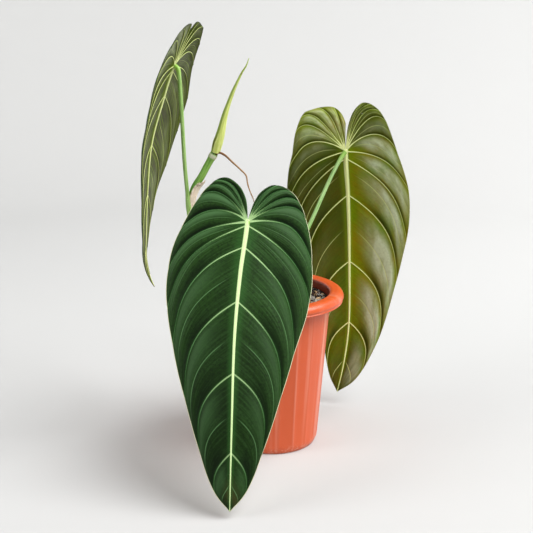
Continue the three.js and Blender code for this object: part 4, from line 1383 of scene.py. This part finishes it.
def blade_mesh(name, leaf, look):
    """A blade as one closed mesh. Its upper faces take the first material and the rest the second."""
    rows, columns = blade_grid()
    grid_count, grid_v = np.meshgrid(rows, columns, indexing="ij")
    count = grid_count.ravel()
    v = grid_v.ravel()
    rays, roots = vein_rays(leaf, count)
    plain = (count < rows[-1]).astype(float)
    points, values, upper_faces, other_faces, first = [], [], [], [], {}
    quilt_height = leaf["quilt"] * look.quilt_height / MM
    row_roots = roots.reshape(grid_v.shape)[:, 0]
    for half, turned in ((0, False), (1, True)):
        q = rays[half]
        flat = flat_places(leaf, half, q, v, roots)
        middle, normals = bent_surface(leaf, half, q, count, v, flat, quilt_height)
        lines = blade_lines(leaf, half, q, flat)
        inward = smoothstep(lines["margin_gap"], 0, THIN_EDGE_WIDTH)
        thick = look.edge_thickness + (look.thickness - look.edge_thickness) * inward
        above = thick / MM / 2 + upper_relief(lines) * plain
        ridges = under_relief(lines, look.midrib_ridge / MM, look.vein_ridge / MM)
        below = thick / MM / 2 + ridges * plain
        ids = {}
        for face, sheet in (("upper", normals * above[:, None]), ("under", -normals * below[:, None])):
            ids[face] = seam_ids(grid_v.shape, len(points) * q.size, first.get(face), row_roots)
            first.setdefault(face, ids[face])
            points.append(middle + sheet)
            values.append({
                "midrib": np.minimum(lines["rib_ratio"], FAR_RATIO),
                "vein": lines["vein_ratio"],
                "minor": lines["minor_ratio"],
                "margin": np.minimum(lines["margin_gap"] / (look.margin_width / MM), FAR_RATIO),
                "minor_strength": lines["minor_strength"],
                "way": lines["vein_share"],
                "reach": v,
                "panel": count,
                "half": np.full_like(q, float(half)),
            })
        upper_faces += sheet_faces(ids["upper"], turned)
        other_faces += sheet_faces(ids["under"], not turned)
        other_faces += edge_faces(ids["upper"][:, -1], ids["under"][:, -1], turned)
        other_faces += edge_faces(ids["upper"][0, ::-1], ids["under"][0, ::-1], turned)
    upper_faces = without_repeats(upper_faces)
    faces = upper_faces + without_repeats(other_faces)
    kinds = [0] * len(upper_faces) + [1] * (len(faces) - len(upper_faces))
    used = np.unique(np.concatenate([np.array(face) for face in faces]))
    renumbered = np.zeros(used.max() + 1, int)
    renumbered[used] = np.arange(len(used))
    mesh = bpy.data.meshes.new(name)
    places = np.vstack(points)[used] * MM
    mesh.from_pydata(places.tolist(), [], [[int(renumbered[i]) for i in face] for face in faces])
    mesh.shade_smooth()
    mesh.polygons.foreach_set("material_index", kinds)
    for key in values[0]:
        store(mesh, key, np.concatenate([sheet[key] for sheet in values])[used])
    mesh.set_sharp_from_angle(angle=math.radians(BLADE_SHARP_DEG))
    return mesh


# Stalks, the rolled leaf and the sheath.
def stem_radius(shares):
    swell = np.zeros_like(shares)
    for node in STEM_NODES:
        swell += NODE_SWELL * np.exp(-(((shares - node) / NODE_LENGTH_SHARE) ** 2))
    return STEM_RADIUS + swell


def petiole_radius(shares):
    foot = (PETIOLE_FOOT_RADIUS - PETIOLE_RADIUS) * (1 - smoothstep(shares, *PETIOLE_FOOT))
    return PETIOLE_RADIUS + foot + PETIOLE_TOP_SWELL * smoothstep(shares, *PETIOLE_TOP)


def aerial_root_radius(shares):
    """Thins to the tip, with the small lumps of a dry root."""
    plain = ROOT_RADIUS + (ROOT_TIP_RADIUS - ROOT_RADIUS) * shares
    lumps = [ROOT_LUMP_HEIGHT * rough_at(share * ROOT_LUMPS, 0.5, 1.5) for share in shares]
    return plain + np.array(lumps)


def circling(first, second, angle):
    """Directions around a path at given angles, and those angles as the way around for materials."""
    turned = first[:, None, :] * np.cos(angle)[..., None] + second[:, None, :] * np.sin(angle)[..., None]
    return turned, np.stack([np.cos(angle), np.sin(angle), 0 * angle], 2)


def stalk(name, points, cuts, radius_of, material):
    """A stalk made by the tube tree, from a path whose points hold its radius in metres."""
    steps, sides = cuts
    path = path_mesh(name, smooth_path(points, steps))
    store(path, "radius", radius_of(np.linspace(0, 1, steps + 1)) * MM)
    return modelled(name, path, tube_tree(), {"Sides": sides, "Material": material})


def spear_mesh(name):
    """The new leaf, rolled round itself, with the outer edge lying over it as a low step."""
    steps, sides = SPEAR_CUTS
    path = smooth_path(SPEAR_PATH, steps)
    share = np.linspace(0, 1, steps + 1)
    wrap = 1 - np.linspace(0, 1, sides + 1)
    angle = math.tau * (1 - wrap)[None, :] + (SPEAR_TWIST * share)[:, None]
    outward, around = circling(*path_frames(path, SPEAR_SEAM_FACING), angle)
    radius = from_list(SPEAR_RADII, share)
    reach = radius[:, None] * (1 + SPEAR_WRAP_STEP * (wrap[None, :] - SPEAR_WRAP_MIDDLE))
    points = (path[:, None, :] + outward * reach[..., None]).reshape(-1, 3)
    ids = np.arange(len(points)).reshape(steps + 1, sides + 1)
    faces = sheet_faces(np.hstack([ids, ids[:, :1]]), True)
    faces += [ids[0, ::-1].tolist(), ids[-1].tolist()]
    mesh = mesh_from(name, points, faces)
    store(mesh, "share", np.repeat(share, sides + 1))
    store(mesh, "wrap", np.tile(wrap, steps + 1))
    store(mesh, "around", around, "FLOAT_VECTOR")
    return mesh


def sheath_mesh(name):
    """The dry sheath, a curled strip beside the stem that frays at its far end."""
    steps, sides = SHEATH_CUTS
    keep = np.linspace(SHEATH_START, SHEATH_END, steps + 1)
    path = smooth_path(STEM_PATH, SHEATH_STEM_STEPS)[np.round(keep * SHEATH_STEM_STEPS).astype(int)]
    share = np.linspace(0, 1, steps + 1)
    span = math.radians(SHEATH_SPAN_DEG) * (1 - SHEATH_NARROWING * share**2)
    across = np.linspace(-0.5, 0.5, sides + 1)
    outward, around = circling(*path_frames(path, SHEATH_FACING), span[:, None] * across[None, :])
    wide, long = SHEATH_WRINKLES
    wrinkle = np.array([[rough_at(a * wide, s * long, 4.0) for a in across] for s in share])
    flare = SHEATH_FLARE * share[:, None] ** 2
    radius = STEM_RADIUS + SHEATH_GAP + flare + SHEATH_WRINKLE * wrinkle
    ragged = np.array([rough_at(a * SHEATH_TEARS, 2.0, 7.0) for a in across])
    lost = SHEATH_LOST + SHEATH_TEAR_DEPTH * ragged + SHEATH_CORNERS_LOST * np.abs(across) ** 2
    shortened = 1 - np.clip(lost, 0, SHEATH_MOST_LOST)
    along = share[:, None] * shortened[None, :]
    middle = np.stack([np.interp(along, share, path[:, axis]) for axis in range(3)], 2)
    sheets = [(middle + outward * reach[..., None]).reshape(-1, 3) for reach in (radius + SHEATH_WALL, radius)]
    ids = np.arange(along.size).reshape(along.shape)
    inside = ids + ids.size
    faces = sheet_faces(ids, True) + sheet_faces(inside, False)
    for edge in (np.s_[:, -1], np.s_[::-1, 0], np.s_[-1, ::-1], np.s_[0]):
        faces += edge_faces(ids[edge], inside[edge], True)
    mesh = mesh_from(name, np.vstack(sheets), faces, ROUGH_SHARP_DEG)
    store(mesh, "share", np.tile(along.ravel(), 2))
    store(mesh, "around", np.stack([around, around]), "FLOAT_VECTOR")
    return mesh


# Pot and soil.
def pot_inside(height):
    """The pot's inner radius at a height above its base."""
    slope = (POT_NECK_RADIUS - POT_FOOT_RADIUS) / (POT_NECK_HEIGHT - POT_FOOT_HEIGHT)
    return POT_FOOT_RADIUS + slope * (height - POT_FOOT_HEIGHT) - POT_WALL


def arc(centre, radii, start_deg, end_deg, steps):
    """Points of an arc in a profile, in radius and height."""
    angles = np.radians(np.linspace(start_deg, end_deg, steps + 1))
    return [(centre[0] + radii[0] * math.cos(a), centre[1] + radii[1] * math.sin(a)) for a in angles]


def pot_profile(rim_radius, height):
    """The pot's profile from the underside out, up, over the rim and down inside, and its flutes."""
    middle = height - RIM_ROUNDING
    bottom = height - RIM_DEPTH
    edge, edge_height = POT_BASE_EDGE
    wall = [
        (POT_BASE_RADIUS - edge, 0.0), (POT_BASE_RADIUS, edge_height), (POT_FOOT_RADIUS, POT_FOOT_HEIGHT)
    ]
    rows = np.linspace(POT_FOOT_HEIGHT, POT_NECK_HEIGHT, WALL_ROWS + 1)[1:]
    fluted_wall = [(pot_inside(z) + POT_WALL, z) for z in rows]
    at_neck, at_rounding = HOLLOW_DEPTHS
    under_rim = [
        (POT_NECK_RADIUS + NECK_FILLET, height - at_neck),
        (rim_radius - RIM_ROUNDING, height - at_rounding),
        (rim_radius - 1.5 * RIM_WALL, middle),
        *((rim_radius - inwards, bottom + up) for inwards, up in RIM_LIP),
    ]
    outside = arc((rim_radius - RIM_ROUNDING, middle), (RIM_ROUNDING, RIM_ROUNDING), 0, 90, RIM_STEPS)
    neck = height - OPENING_ROUNDING
    reach = rim_radius - RIM_ROUNDING - RIM_FLAT - pot_inside(neck)
    opening = arc((pot_inside(neck) + reach, neck), (reach, OPENING_ROUNDING), 90, 180, OPENING_STEPS)
    inside = [(pot_inside(z), z) for z in np.linspace(neck, POT_FLOOR, INSIDE_ROWS)[1:]]
    profile = [(0.0, 0.0), *wall, *fluted_wall, *under_rim, *outside, *opening, *inside, (0.0, POT_FLOOR)]
    fluted = np.zeros(len(profile))
    start = 1 + len(wall)
    flutes_start = POT_FOOT_HEIGHT + FLUTE_FADE_HEIGHT
    fluted[start : start + len(rows)] = smoothstep(rows, POT_FOOT_HEIGHT, flutes_start)
    return np.array(profile), fluted


def profile_mesh(name, profile, fluted):
    """A profile as edges in the plane that the turning tree sweeps, from its end to its start."""
    points = np.stack([profile[:, 0] - TURNING_RADIUS, -profile[:, 1], 0 * profile[:, 0]], 1)
    mesh = path_mesh(name, points[::-1])
    store(mesh, "fluted", fluted[::-1])
    return mesh


def notch_mesh(name):
    """The arched block that cuts one drain notch, pointing out along +X."""
    across = np.linspace(-NOTCH_WIDTH / 2, NOTCH_WIDTH / 2, NOTCH_STEPS + 1)
    arch = [(y, NOTCH_HEIGHT * (1 - (2 * y / NOTCH_WIDTH) ** 2)) for y in across]
    outline = [(across[0], -NOTCH_BELOW), *arch, (across[-1], -NOTCH_BELOW)]
    near = POT_FOOT_RADIUS + NOTCH_START - NOTCH_DEPTH
    points = [(x, y, z) for x in (near, POT_FOOT_RADIUS + NOTCH_PAST_FOOT) for y, z in outline]
    n = len(outline)
    faces = [(i, (i + 1) % n, (i + 1) % n + n, i + n) for i in range(n)]
    faces += [tuple(range(n))[::-1], tuple(range(n, 2 * n))]
    return mesh_from(name, points, faces)


def chip_shapes():
    """A few lumps and flakes of grit and bark as a collection, each the hull of scattered points."""
    draw = random.Random(CHIP_SEED)
    shapes = bpy.data.collections.new("chip_shapes")
    for k, stretch in enumerate(CHIP_STRETCHES):
        built = bmesh.new()
        for _ in range(CHIP_CORNERS):
            point = Vector([draw.gauss(0, 1) for _ in range(3)]).normalized()
            point *= draw.uniform(*CHIP_CORNER_REACH)
            built.verts.new([point[axis] * stretch[axis] for axis in range(3)])
        hull = bmesh.ops.convex_hull(built, input=built.verts)
        left_over = hull["geom_interior"] + hull["geom_unused"]
        loose = {part for part in left_over if isinstance(part, bmesh.types.BMVert)}
        bmesh.ops.delete(built, geom=list(loose), context="VERTS")
        bmesh.ops.recalc_face_normals(built, faces=built.faces)
        mesh = bpy.data.meshes.new(f"chip_shape_{k}")
        built.to_mesh(mesh)
        built.free()
        shapes.objects.link(bpy.data.objects.new(mesh.name, mesh))
    return shapes


def ring_angles(sides):
    return np.arange(sides) * math.tau / sides


def around_ring(sides):
    """Each point's number in a ring with the next one's."""
    return [(i, (i + 1) % sides) for i in range(sides)]


def ring_faces(start, sides, kept=None):
    """The faces between a ring of points and the next one, or the first ones of them."""
    return [
        (start + a, start + sides + a, start + sides + b, start + b) for a, b in around_ring(sides)[:kept]
    ]


def bed_mesh(name):
    """The soil's closed body inside the pot, with a bumpy top that the chips lie on."""
    floor = POT_FLOOR + BED_GAP
    middle = SOIL_TOP - BED_BELOW_TOP
    reach = pot_inside(SOIL_TOP) - BED_GAP
    points, top = [(0.0, 0.0, middle)], [1.0]
    angles = ring_angles(BED_SIDES)
    for share in np.linspace(0, 1, BED_RINGS + 1)[1:]:
        for a in angles:
            x = share * reach * math.cos(a)
            y = share * reach * math.sin(a)
            bump = BED_BUMPS * rough_at(x / BED_BUMP_SIZE, y / BED_BUMP_SIZE, 0.3)
            points.append((x, y, middle + bump * (1 - share**6) + BED_CROWN * (1 - share**2)))
            top.append(1.0 if share * reach < reach - BARE_EDGE_SHARE * CHIP_REACH else 0.0)
    low = pot_inside(floor) - BED_GAP
    points += [(low * math.cos(a), low * math.sin(a), floor) for a in angles]
    points.append((0.0, 0.0, floor))
    top += [0.0] * (BED_SIDES + 1)
    faces = [(0, 1 + a, 1 + b) for a, b in around_ring(BED_SIDES)]
    for ring in range(BED_RINGS):
        faces += ring_faces(1 + ring * BED_SIDES, BED_SIDES)
    start = 1 + BED_RINGS * BED_SIDES
    faces += [(start + b, start + a, len(points) - 1) for a, b in around_ring(BED_SIDES)]
    mesh = mesh_from(name, points, faces, ROUGH_SHARP_DEG)
    store(mesh, "top", top)
    store(mesh, "tone", [BED_TONE] * len(points))
    return mesh


# Settings in the sidebar.
def length_setting(name, millimetres, description):
    return bpy.props.FloatProperty(
        name=name, default=millimetres * MM, description=description, min=0.0, unit="LENGTH", precision=4
    )


def colour_setting(name, code, description):
    return bpy.props.FloatVectorProperty(
        name=name, default=linear(code), description=description, size=3, min=0.0, max=1.0, subtype="COLOR"
    )


def power_setting(name, watts, description):
    return bpy.props.FloatProperty(name=name, default=watts, description=description, min=0.0, unit="POWER")


POT_LOW, POT_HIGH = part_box("pot")
RIM_RADIUS = (POT_HIGH.x - POT_LOW.x) / 2 / MM


class PotSettings(bpy.types.PropertyGroup):
    rim_radius: length_setting("Rim radius", RIM_RADIUS, "Half of the pot's width across its rim")
    height: length_setting("Height", POT_HIGH.z / MM, "Height of the pot above the floor")
    flute_height: length_setting("Flute height", FLUTE_HEIGHT, "How far the ridges stand out of the wall")
    colour: colour_setting("Colour", "#CF5222", "Main colour of the plastic")
    colour_light: colour_setting("Light colour", "#D85D2E", "Colour of its lighter flow marks")
    # The bands are painted reflection, and the lining is painted shade on the inner wall.
    painted_reflection_band: colour_setting("Painted reflection bands", "#F4A28A", "Colour of its pale upright bands")
    lining: colour_setting("Lining", "#561206", "Colour of the painted shade on the inner wall")
    scuff: colour_setting("Scuffs", "#E3A084", "Colour of the worn marks at the foot")


class SoilSettings(bpy.types.PropertyGroup):
    small_spacing: length_setting("Chip spacing", 2.7, "Least distance between small chips")
    large_spacing: length_setting("Lump spacing", 9, "Least distance between large lumps")
    chip_size: length_setting("Chip size", 4.2, "Largest reach of a small chip from its middle")
    lump_size: length_setting("Lump size", 5.0, "Largest reach of a large lump from its middle")
    seed: bpy.props.IntProperty(name="Seed", description="Changes how the chips fall", default=3)
    black: colour_setting("Charcoal", "#1C1715", "Colour of the charcoal")
    bark: colour_setting("Bark", "#4A3020", "Colour of the bark")
    grey: colour_setting("Grit", "#8A857E", "Colour of the grey lumps")
    pale: colour_setting("Pale grit", "#AAA49A", "Colour of the pale lumps")
    tan: colour_setting("Tan chips", "#C8A57E", "Colour of the tan chips")


class BladeSettings(bpy.types.PropertyGroup):
    thickness: length_setting("Thickness", 0.6, "Thickness of the blade")
    edge_thickness: length_setting("Edge thickness", 0.4, "Thickness of the blade at its margin")
    quilt_height: length_setting("Quilting", 3.1, "How far the blade puffs up between its veins")
    midrib_ridge: length_setting("Midrib ridge", 1.9, "Height of the midrib under the blade")
    vein_ridge: length_setting("Vein ridge", 0.8, "Height of the main veins under the blade")
    margin_width: length_setting("Margin width", 0.55, "Width of the pale line round the blade")
    upper_dark: colour_setting("Upper dark", "#142A08", "Dark velvet of the upper face")
    upper_light: colour_setting("Upper light", "#20400F", "Lighter velvet of the upper face")
    upper_streak: colour_setting("Upper streaks", "#426A36", "Fine streaks of the upper face")
    # The upper painted sheen is a painted highlight on the tip side of each vein. The next colour is painted
    # shade on its other side and towards the tip, and also the fine mottle.
    upper_painted_sheen: colour_setting("Upper sheen", "#43653C", "Grey green along the tip side of a vein")
    upper_mottle_and_painted_shade: colour_setting("Upper mottle and painted shade", "#051003", "Near black along the other side of a vein")
    upper_stain: colour_setting("Upper stain", "#3E3A1C", "Brown mark on the tip of the upper face")
    upper_halo: colour_setting("Upper halo", "#35682C", "Green beside the upper midrib")
    upper_midrib: colour_setting("Upper midrib", "#D2EBAA", "Midrib of the upper face")
    upper_vein: colour_setting("Upper veins", "#A2C286", "Main veins near the midrib")
    upper_vein_far: colour_setting("Upper veins, far", "#689660", "Main veins near the margin")
    under_base: colour_setting("Under", "#668000", "Olive of the underside")
    under_shade: colour_setting("Under shade", "#8A7600", "Bronze olive of the underside")
    # The under painted gloss is a painted highlight on the tip side of each vein. The next colour is painted
    # shade on its other side and elsewhere, and also the fine mottle.
    under_painted_gloss: colour_setting("Under gloss", "#C0CAA4", "Painted grey gloss along the tip side of a vein")
    under_mottle_and_painted_shade: colour_setting("Under mottle and painted shade", "#2A3202", "Deep olive along the other side of a vein")
    under_halo: colour_setting("Under halo", "#7C9A12", "Yellow green beside the underside's veins")
    under_vein: colour_setting("Under veins", "#F0F8AC", "Main veins of the underside")
    under_vein_far: colour_setting("Under veins, far", "#CCD684", "Those veins near the margin")
    under_midrib: colour_setting("Under midrib", "#F6FFB4", "Midrib of the underside")
    # Painted shade: the left blade's underside takes these darker copies of the underside's colours.
    shaded_base: colour_setting("Shaded under", "#3E3F18", "Underside of the left blade")
    shaded_dark: colour_setting("Shaded under, dark", "#333413", "Its darker patches")
    # Share of the painted gloss on the lobes.
    lobe_painted_gloss: bpy.props.FloatProperty(
        name="Lobe gloss", description="Share of the painted grey gloss on the underside's lobes", default=0.5
    )
    margin: colour_setting("Margin", "#CFCFAA", "The pale line round the blade")
    speck: colour_setting("Specks", "#E6E6D8", "Pale specks on the blade")


class StalkSettings(bpy.types.PropertyGroup):
    petiole_pale: colour_setting("Petiole pale", "#AED080", "Pale streaks of the petioles")
    petiole_deep: colour_setting("Petiole deep", "#6C9A3E", "Green of the petioles")
    petiole_grey: colour_setting("Petiole grey", "#B8D896", "Pale streaks of the right petiole")
    petiole_dull: colour_setting("Petiole dull", "#78AA54", "Green of the right petiole")
    petiole_joint: colour_setting("Petiole joint", "#93C23A", "Petioles at both of their ends")
    stem_pale: colour_setting("Stem pale", "#92C25A", "Pale streaks of the stem")
    stem_deep: colour_setting("Stem deep", "#5E9232", "Green of the stem")
    stem_old: colour_setting("Stem, old", "#5C5532", "Stem where it leaves the soil")
    node_ring: colour_setting("Node rings", "#E0E0C4", "Rings at the stem's nodes")
    spear_pale: colour_setting("Spear pale", "#DCE58A", "Yellow green of the rolled leaf")
    spear_deep: colour_setting("Spear deep", "#BECC62", "Its deeper streaks")
    spear_edge: colour_setting("Spear edge", "#98B44C", "The face under its wrapped edge")
    spear_tip: colour_setting("Spear tip", "#9DB45A", "Green towards its tip")
    scar: colour_setting("Scars", "#6B4526", "Brown flecks and scars")
    sheath_pale: colour_setting("Sheath pale", "#FFF4E4", "Pale fibres of the dry sheath")
    sheath_deep: colour_setting("Sheath deep", "#EFD8BE", "Deeper fibres of the dry sheath")
    root_brown: colour_setting("Root brown", "#6E4A2E", "Aerial root at the stem")
    root_tan: colour_setting("Root tan", "#A98560", "Aerial root along its middle")
    root_grey: colour_setting("Root grey", "#A79C90", "Aerial root at its tip")


class StageSettings(bpy.types.PropertyGroup):
    reach: length_setting("Floor reach", 1900, "Radius of the floor")
    wall: length_setting("Wall height", 2200, "Height of the curved wall behind the plant")
    paper: colour_setting("Paper", "#C0C0BF", "Colour of the floor and the wall")
    key_power: power_setting("Key light", 98.0, "Power of the large soft light")
    side_power: power_setting("Side light", 20.0, "Power of the small light at the left")
    wall_power: power_setting("Wall light", 14.0, "Power of the light on the wall")
    sky: bpy.props.FloatProperty(name="Sky", description="Strength of the light all round", default=0.35)


# Operators.
class PLANT_OT_pot(bpy.types.Operator):
    """Turn the fluted pot and cut its drain notches"""

    bl_idname = "plant.pot"
    bl_label = "Pot"

    def execute(self, context):
        look = context.scene.plant_pot
        source = profile_mesh("pot_profile", *pot_profile(look.rim_radius / MM, look.height / MM))
        notch = add_object("notch_block", notch_mesh("notch_block"))
        piece = modelled(
            "pot_fluted",
            source,
            pot_tree(),
            {
                "Turning radius": TURNING_RADIUS * MM,
                "Segments": POT_SEGMENTS,
                "Flutes": float(FLUTE_COUNT),
                "First flute": math.radians(FLUTE_FIRST_DEG),
                "Flute height": look.flute_height,
                "Notch": notch,
                "Notches": NOTCH_COUNT,
                "First notch": math.radians(NOTCH_FIRST_DEG),
                "Material": pot_material(look),
            },
        )
        bpy.data.objects.remove(notch)
        piece.data.shade_smooth()
        piece.data.set_sharp_from_angle(angle=math.radians(POT_SHARP_DEG))
        finish_piece(piece, "pot")
        return {"FINISHED"}


class PLANT_OT_soil(bpy.types.Operator):
    """Fill the pot with a chunky mix of charcoal, grit and bark"""

    bl_idname = "plant.soil"
    bl_label = "Soil"

    def execute(self, context):
        look = context.scene.plant_soil
        shapes = chip_shapes()
        piece = modelled(
            "soil_chips",
            bed_mesh("soil_bed"),
            soil_tree(),
            {
                "Chips": shapes,
                "Small spacing": look.small_spacing,
                "Large spacing": look.large_spacing,
                "Chip size": look.chip_size,
                "Lump size": look.lump_size,
                "Seed": look.seed,
                "Material": soil_material(look),
            },
        )
        for shape in list(shapes.objects):
            bpy.data.objects.remove(shape)
        bpy.data.collections.remove(shapes)
        finish_piece(piece, "soil")
        return {"FINISHED"}


class PLANT_OT_stem(bpy.types.Operator):
    """Grow the stem with its swollen nodes"""

    bl_idname = "plant.stem"
    bl_label = "Stem"

    def execute(self, context):
        material = stem_material(context.scene.plant_stalks)
        piece = stalk("stem_green", STEM_PATH, STEM_CUTS, stem_radius, material)
        finish_piece(piece, "stem")
        return {"FINISHED"}


class PLANT_OT_blades(bpy.types.Operator):
    """Shape the three hanging blades with their veins"""

    bl_idname = "plant.blades"
    bl_label = "Blades"

    def execute(self, context):
        look = context.scene.plant_blades
        upper = blade_upper_material(look)
        under = blade_under_material(
            "blade_olive_under", look, look.under_base, look.under_shade, (0.05, 1.0), (1.3, 0.98),
            look.margin, 0.25, 1.0,
        )
        # The left blade's underside is a darker copy of the underside's material as painted shade. It has less
        # of the painted gloss and of the painted shade beside the veins.
        shaded = blade_under_material(
            "blade_shaded_under", look, look.shaded_base, look.shaded_dark, (0.1, 0.14), (0.95, 0.6),
            look.upper_dark, 0.8, 0.2,
        )
        for side, leaf in LEAVES.items():
            mesh = blade_mesh("blade_" + side, leaf, look)
            piece = dressed(mesh, upper, shaded if side == "left" else under)
            finish_piece(piece, "leaf_" + side)
        return {"FINISHED"}


class PLANT_OT_petioles(bpy.types.Operator):
    """Grow a petiole to each blade"""

    bl_idname = "plant.petioles"
    bl_label = "Petioles"

    def execute(self, context):
        look = context.scene.plant_stalks
        green = petiole_material("petiole_smooth_green", look, look.petiole_pale, look.petiole_deep)
        grey = petiole_material("petiole_grey_green", look, look.petiole_grey, look.petiole_dull)
        for side, leaf in LEAVES.items():
            material = grey if side == "right" else green
            name = f"stalk_{side}_green"
            piece = stalk(name, leaf["petiole"], PETIOLE_CUTS, petiole_radius, material)
            finish_piece(piece, "petiole_" + side)
        return {"FINISHED"}


class PLANT_OT_spear(bpy.types.Operator):
    """Roll the new leaf that stands at the top of the stem"""

    bl_idname = "plant.spear"
    bl_label = "Rolled new leaf"

    def execute(self, context):
        piece = dressed(spear_mesh("spear_rolled"), spear_material(context.scene.plant_stalks))
        finish_piece(piece, "new_leaf_spear")
        return {"FINISHED"}


class PLANT_OT_sheath(bpy.types.Operator):
    """Curl the dry sheath beside the stem"""

    bl_idname = "plant.sheath"
    bl_label = "Dry sheath"

    def execute(self, context):
        piece = dressed(sheath_mesh("sheath_papery"), sheath_material(context.scene.plant_stalks))
        finish_piece(piece, "dry_sheath")
        return {"FINISHED"}


class PLANT_OT_root(bpy.types.Operator):
    """Grow the aerial root that hangs from the top node"""

    bl_idname = "plant.root"
    bl_label = "Aerial root"

    def execute(self, context):
        material = root_material(context.scene.plant_stalks)
        piece = stalk("root_brown", ROOT_PATH, ROOT_CUTS, aerial_root_radius, material)
        finish_piece(piece, "aerial_root")
        return {"FINISHED"}


class PLANT_OT_stage(bpy.types.Operator):
    """Set up the pale floor, the soft lights and the camera"""

    bl_idname = "plant.stage"
    bl_label = "Stage"

    def execute(self, context):
        look = context.scene.plant_stage
        scene = context.scene
        scene.view_settings.view_transform = "Standard"
        paper, _, _ = new_material(
            "studio_paper", 0.9, Specular_IOR_Level=0.1, Base_Color=opaque(look.paper)
        )
        floor = dressed(floor_mesh("studio_floor", look.reach / MM, look.wall / MM), paper)
        powers = {"key_light": look.key_power, "side_light": look.side_power, "wall_light": look.wall_power}
        for name, power in powers.items():
            soft_light(name, power, *LIGHTS[name])
        world = bpy.data.worlds.new("studio_world")
        scene.world = world
        world.use_nodes = True
        background = world.node_tree.nodes["Background"]
        background.inputs["Color"].default_value = opaque((1.0, 1.0, 1.0))
        background.inputs["Strength"].default_value = look.sky
        camera = bpy.data.cameras.new("photo_camera")
        camera.sensor_width = SENSOR_MM
        camera.lens = FOCAL_PX / FRAME_PX * SENSOR_MM
        camera.clip_start, camera.clip_end = CAMERA_SEES_M
        stand = add_object("photo_camera", camera)
        stand.location = [c * MM for c in CAMERA_PLACE]
        stand.rotation_euler = (math.radians(90 - CAMERA_DOWN_DEG), 0, 0)
        scene.camera = stand
        return {"FINISHED"}


def floor_mesh(name, reach, wall):
    """A round floor that curves up into a wall behind the plant."""
    flat = reach - FLOOR_BEND
    profile = [(FLOOR_MIDDLE, 0.0), (flat, 0.0)]
    profile += arc((flat, FLOOR_BEND), (FLOOR_BEND, FLOOR_BEND), -90, 0, FLOOR_BEND_STEPS)[1:]
    profile += [(reach, wall)]
    points = [(r * math.cos(a), r * math.sin(a), z) for r, z in profile for a in ring_angles(FLOOR_SIDES)]
    faces = [tuple(range(FLOOR_SIDES))]
    for ring in range(len(profile) - 1):
        faces += ring_faces(ring * FLOOR_SIDES, FLOOR_SIDES, FLOOR_SIDES // 2 if ring else None)
    return mesh_from(name, points, faces, 0)


def soft_light(name, power, size, place, target):
    """A large area light that points at a target."""
    light = bpy.data.lights.new(name, "AREA")
    light.shape = "DISK"
    light.size = size
    light.energy = power
    stand = add_object(name, light)
    stand.location = place
    stand.rotation_euler = (Vector(target) - Vector(place)).to_track_quat("-Z", "Y").to_euler()


class PLANT_PT_panel(bpy.types.Panel):
    """The plant's pieces and their settings"""

    bl_idname = "PLANT_PT_panel"
    bl_label = "Potted plant"
    bl_space_type = "VIEW_3D"
    bl_region_type = "UI"
    bl_category = "Plant"

    def draw(self, context):
        for name, kind in SETTINGS.items():
            box = self.layout.box()
            group = getattr(context.scene, name)
            for key in kind.__annotations__:
                box.prop(group, key)
        for operator in OPERATORS:
            self.layout.operator(operator.bl_idname)


SETTINGS = {
    "plant_pot": PotSettings,
    "plant_soil": SoilSettings,
    "plant_blades": BladeSettings,
    "plant_stalks": StalkSettings,
    "plant_stage": StageSettings,
}
OPERATORS = (
    PLANT_OT_pot,
    PLANT_OT_soil,
    PLANT_OT_stem,
    PLANT_OT_blades,
    PLANT_OT_petioles,
    PLANT_OT_spear,
    PLANT_OT_sheath,
    PLANT_OT_root,
    PLANT_OT_stage,
)


def register():
    for kind in (*SETTINGS.values(), *OPERATORS, PLANT_PT_panel):
        bpy.utils.register_class(kind)
    for name, kind in SETTINGS.items():
        setattr(bpy.types.Scene, name, bpy.props.PointerProperty(type=kind))


def unregister():
    for name in SETTINGS:
        delattr(bpy.types.Scene, name)
    for kind in (*SETTINGS.values(), *OPERATORS, PLANT_PT_panel):
        bpy.utils.unregister_class(kind)


def main():
    register()
    for operator in OPERATORS:
        getattr(bpy.ops.plant, operator.bl_idname.split(".")[1])()


if __name__ == "__main__":
    main()
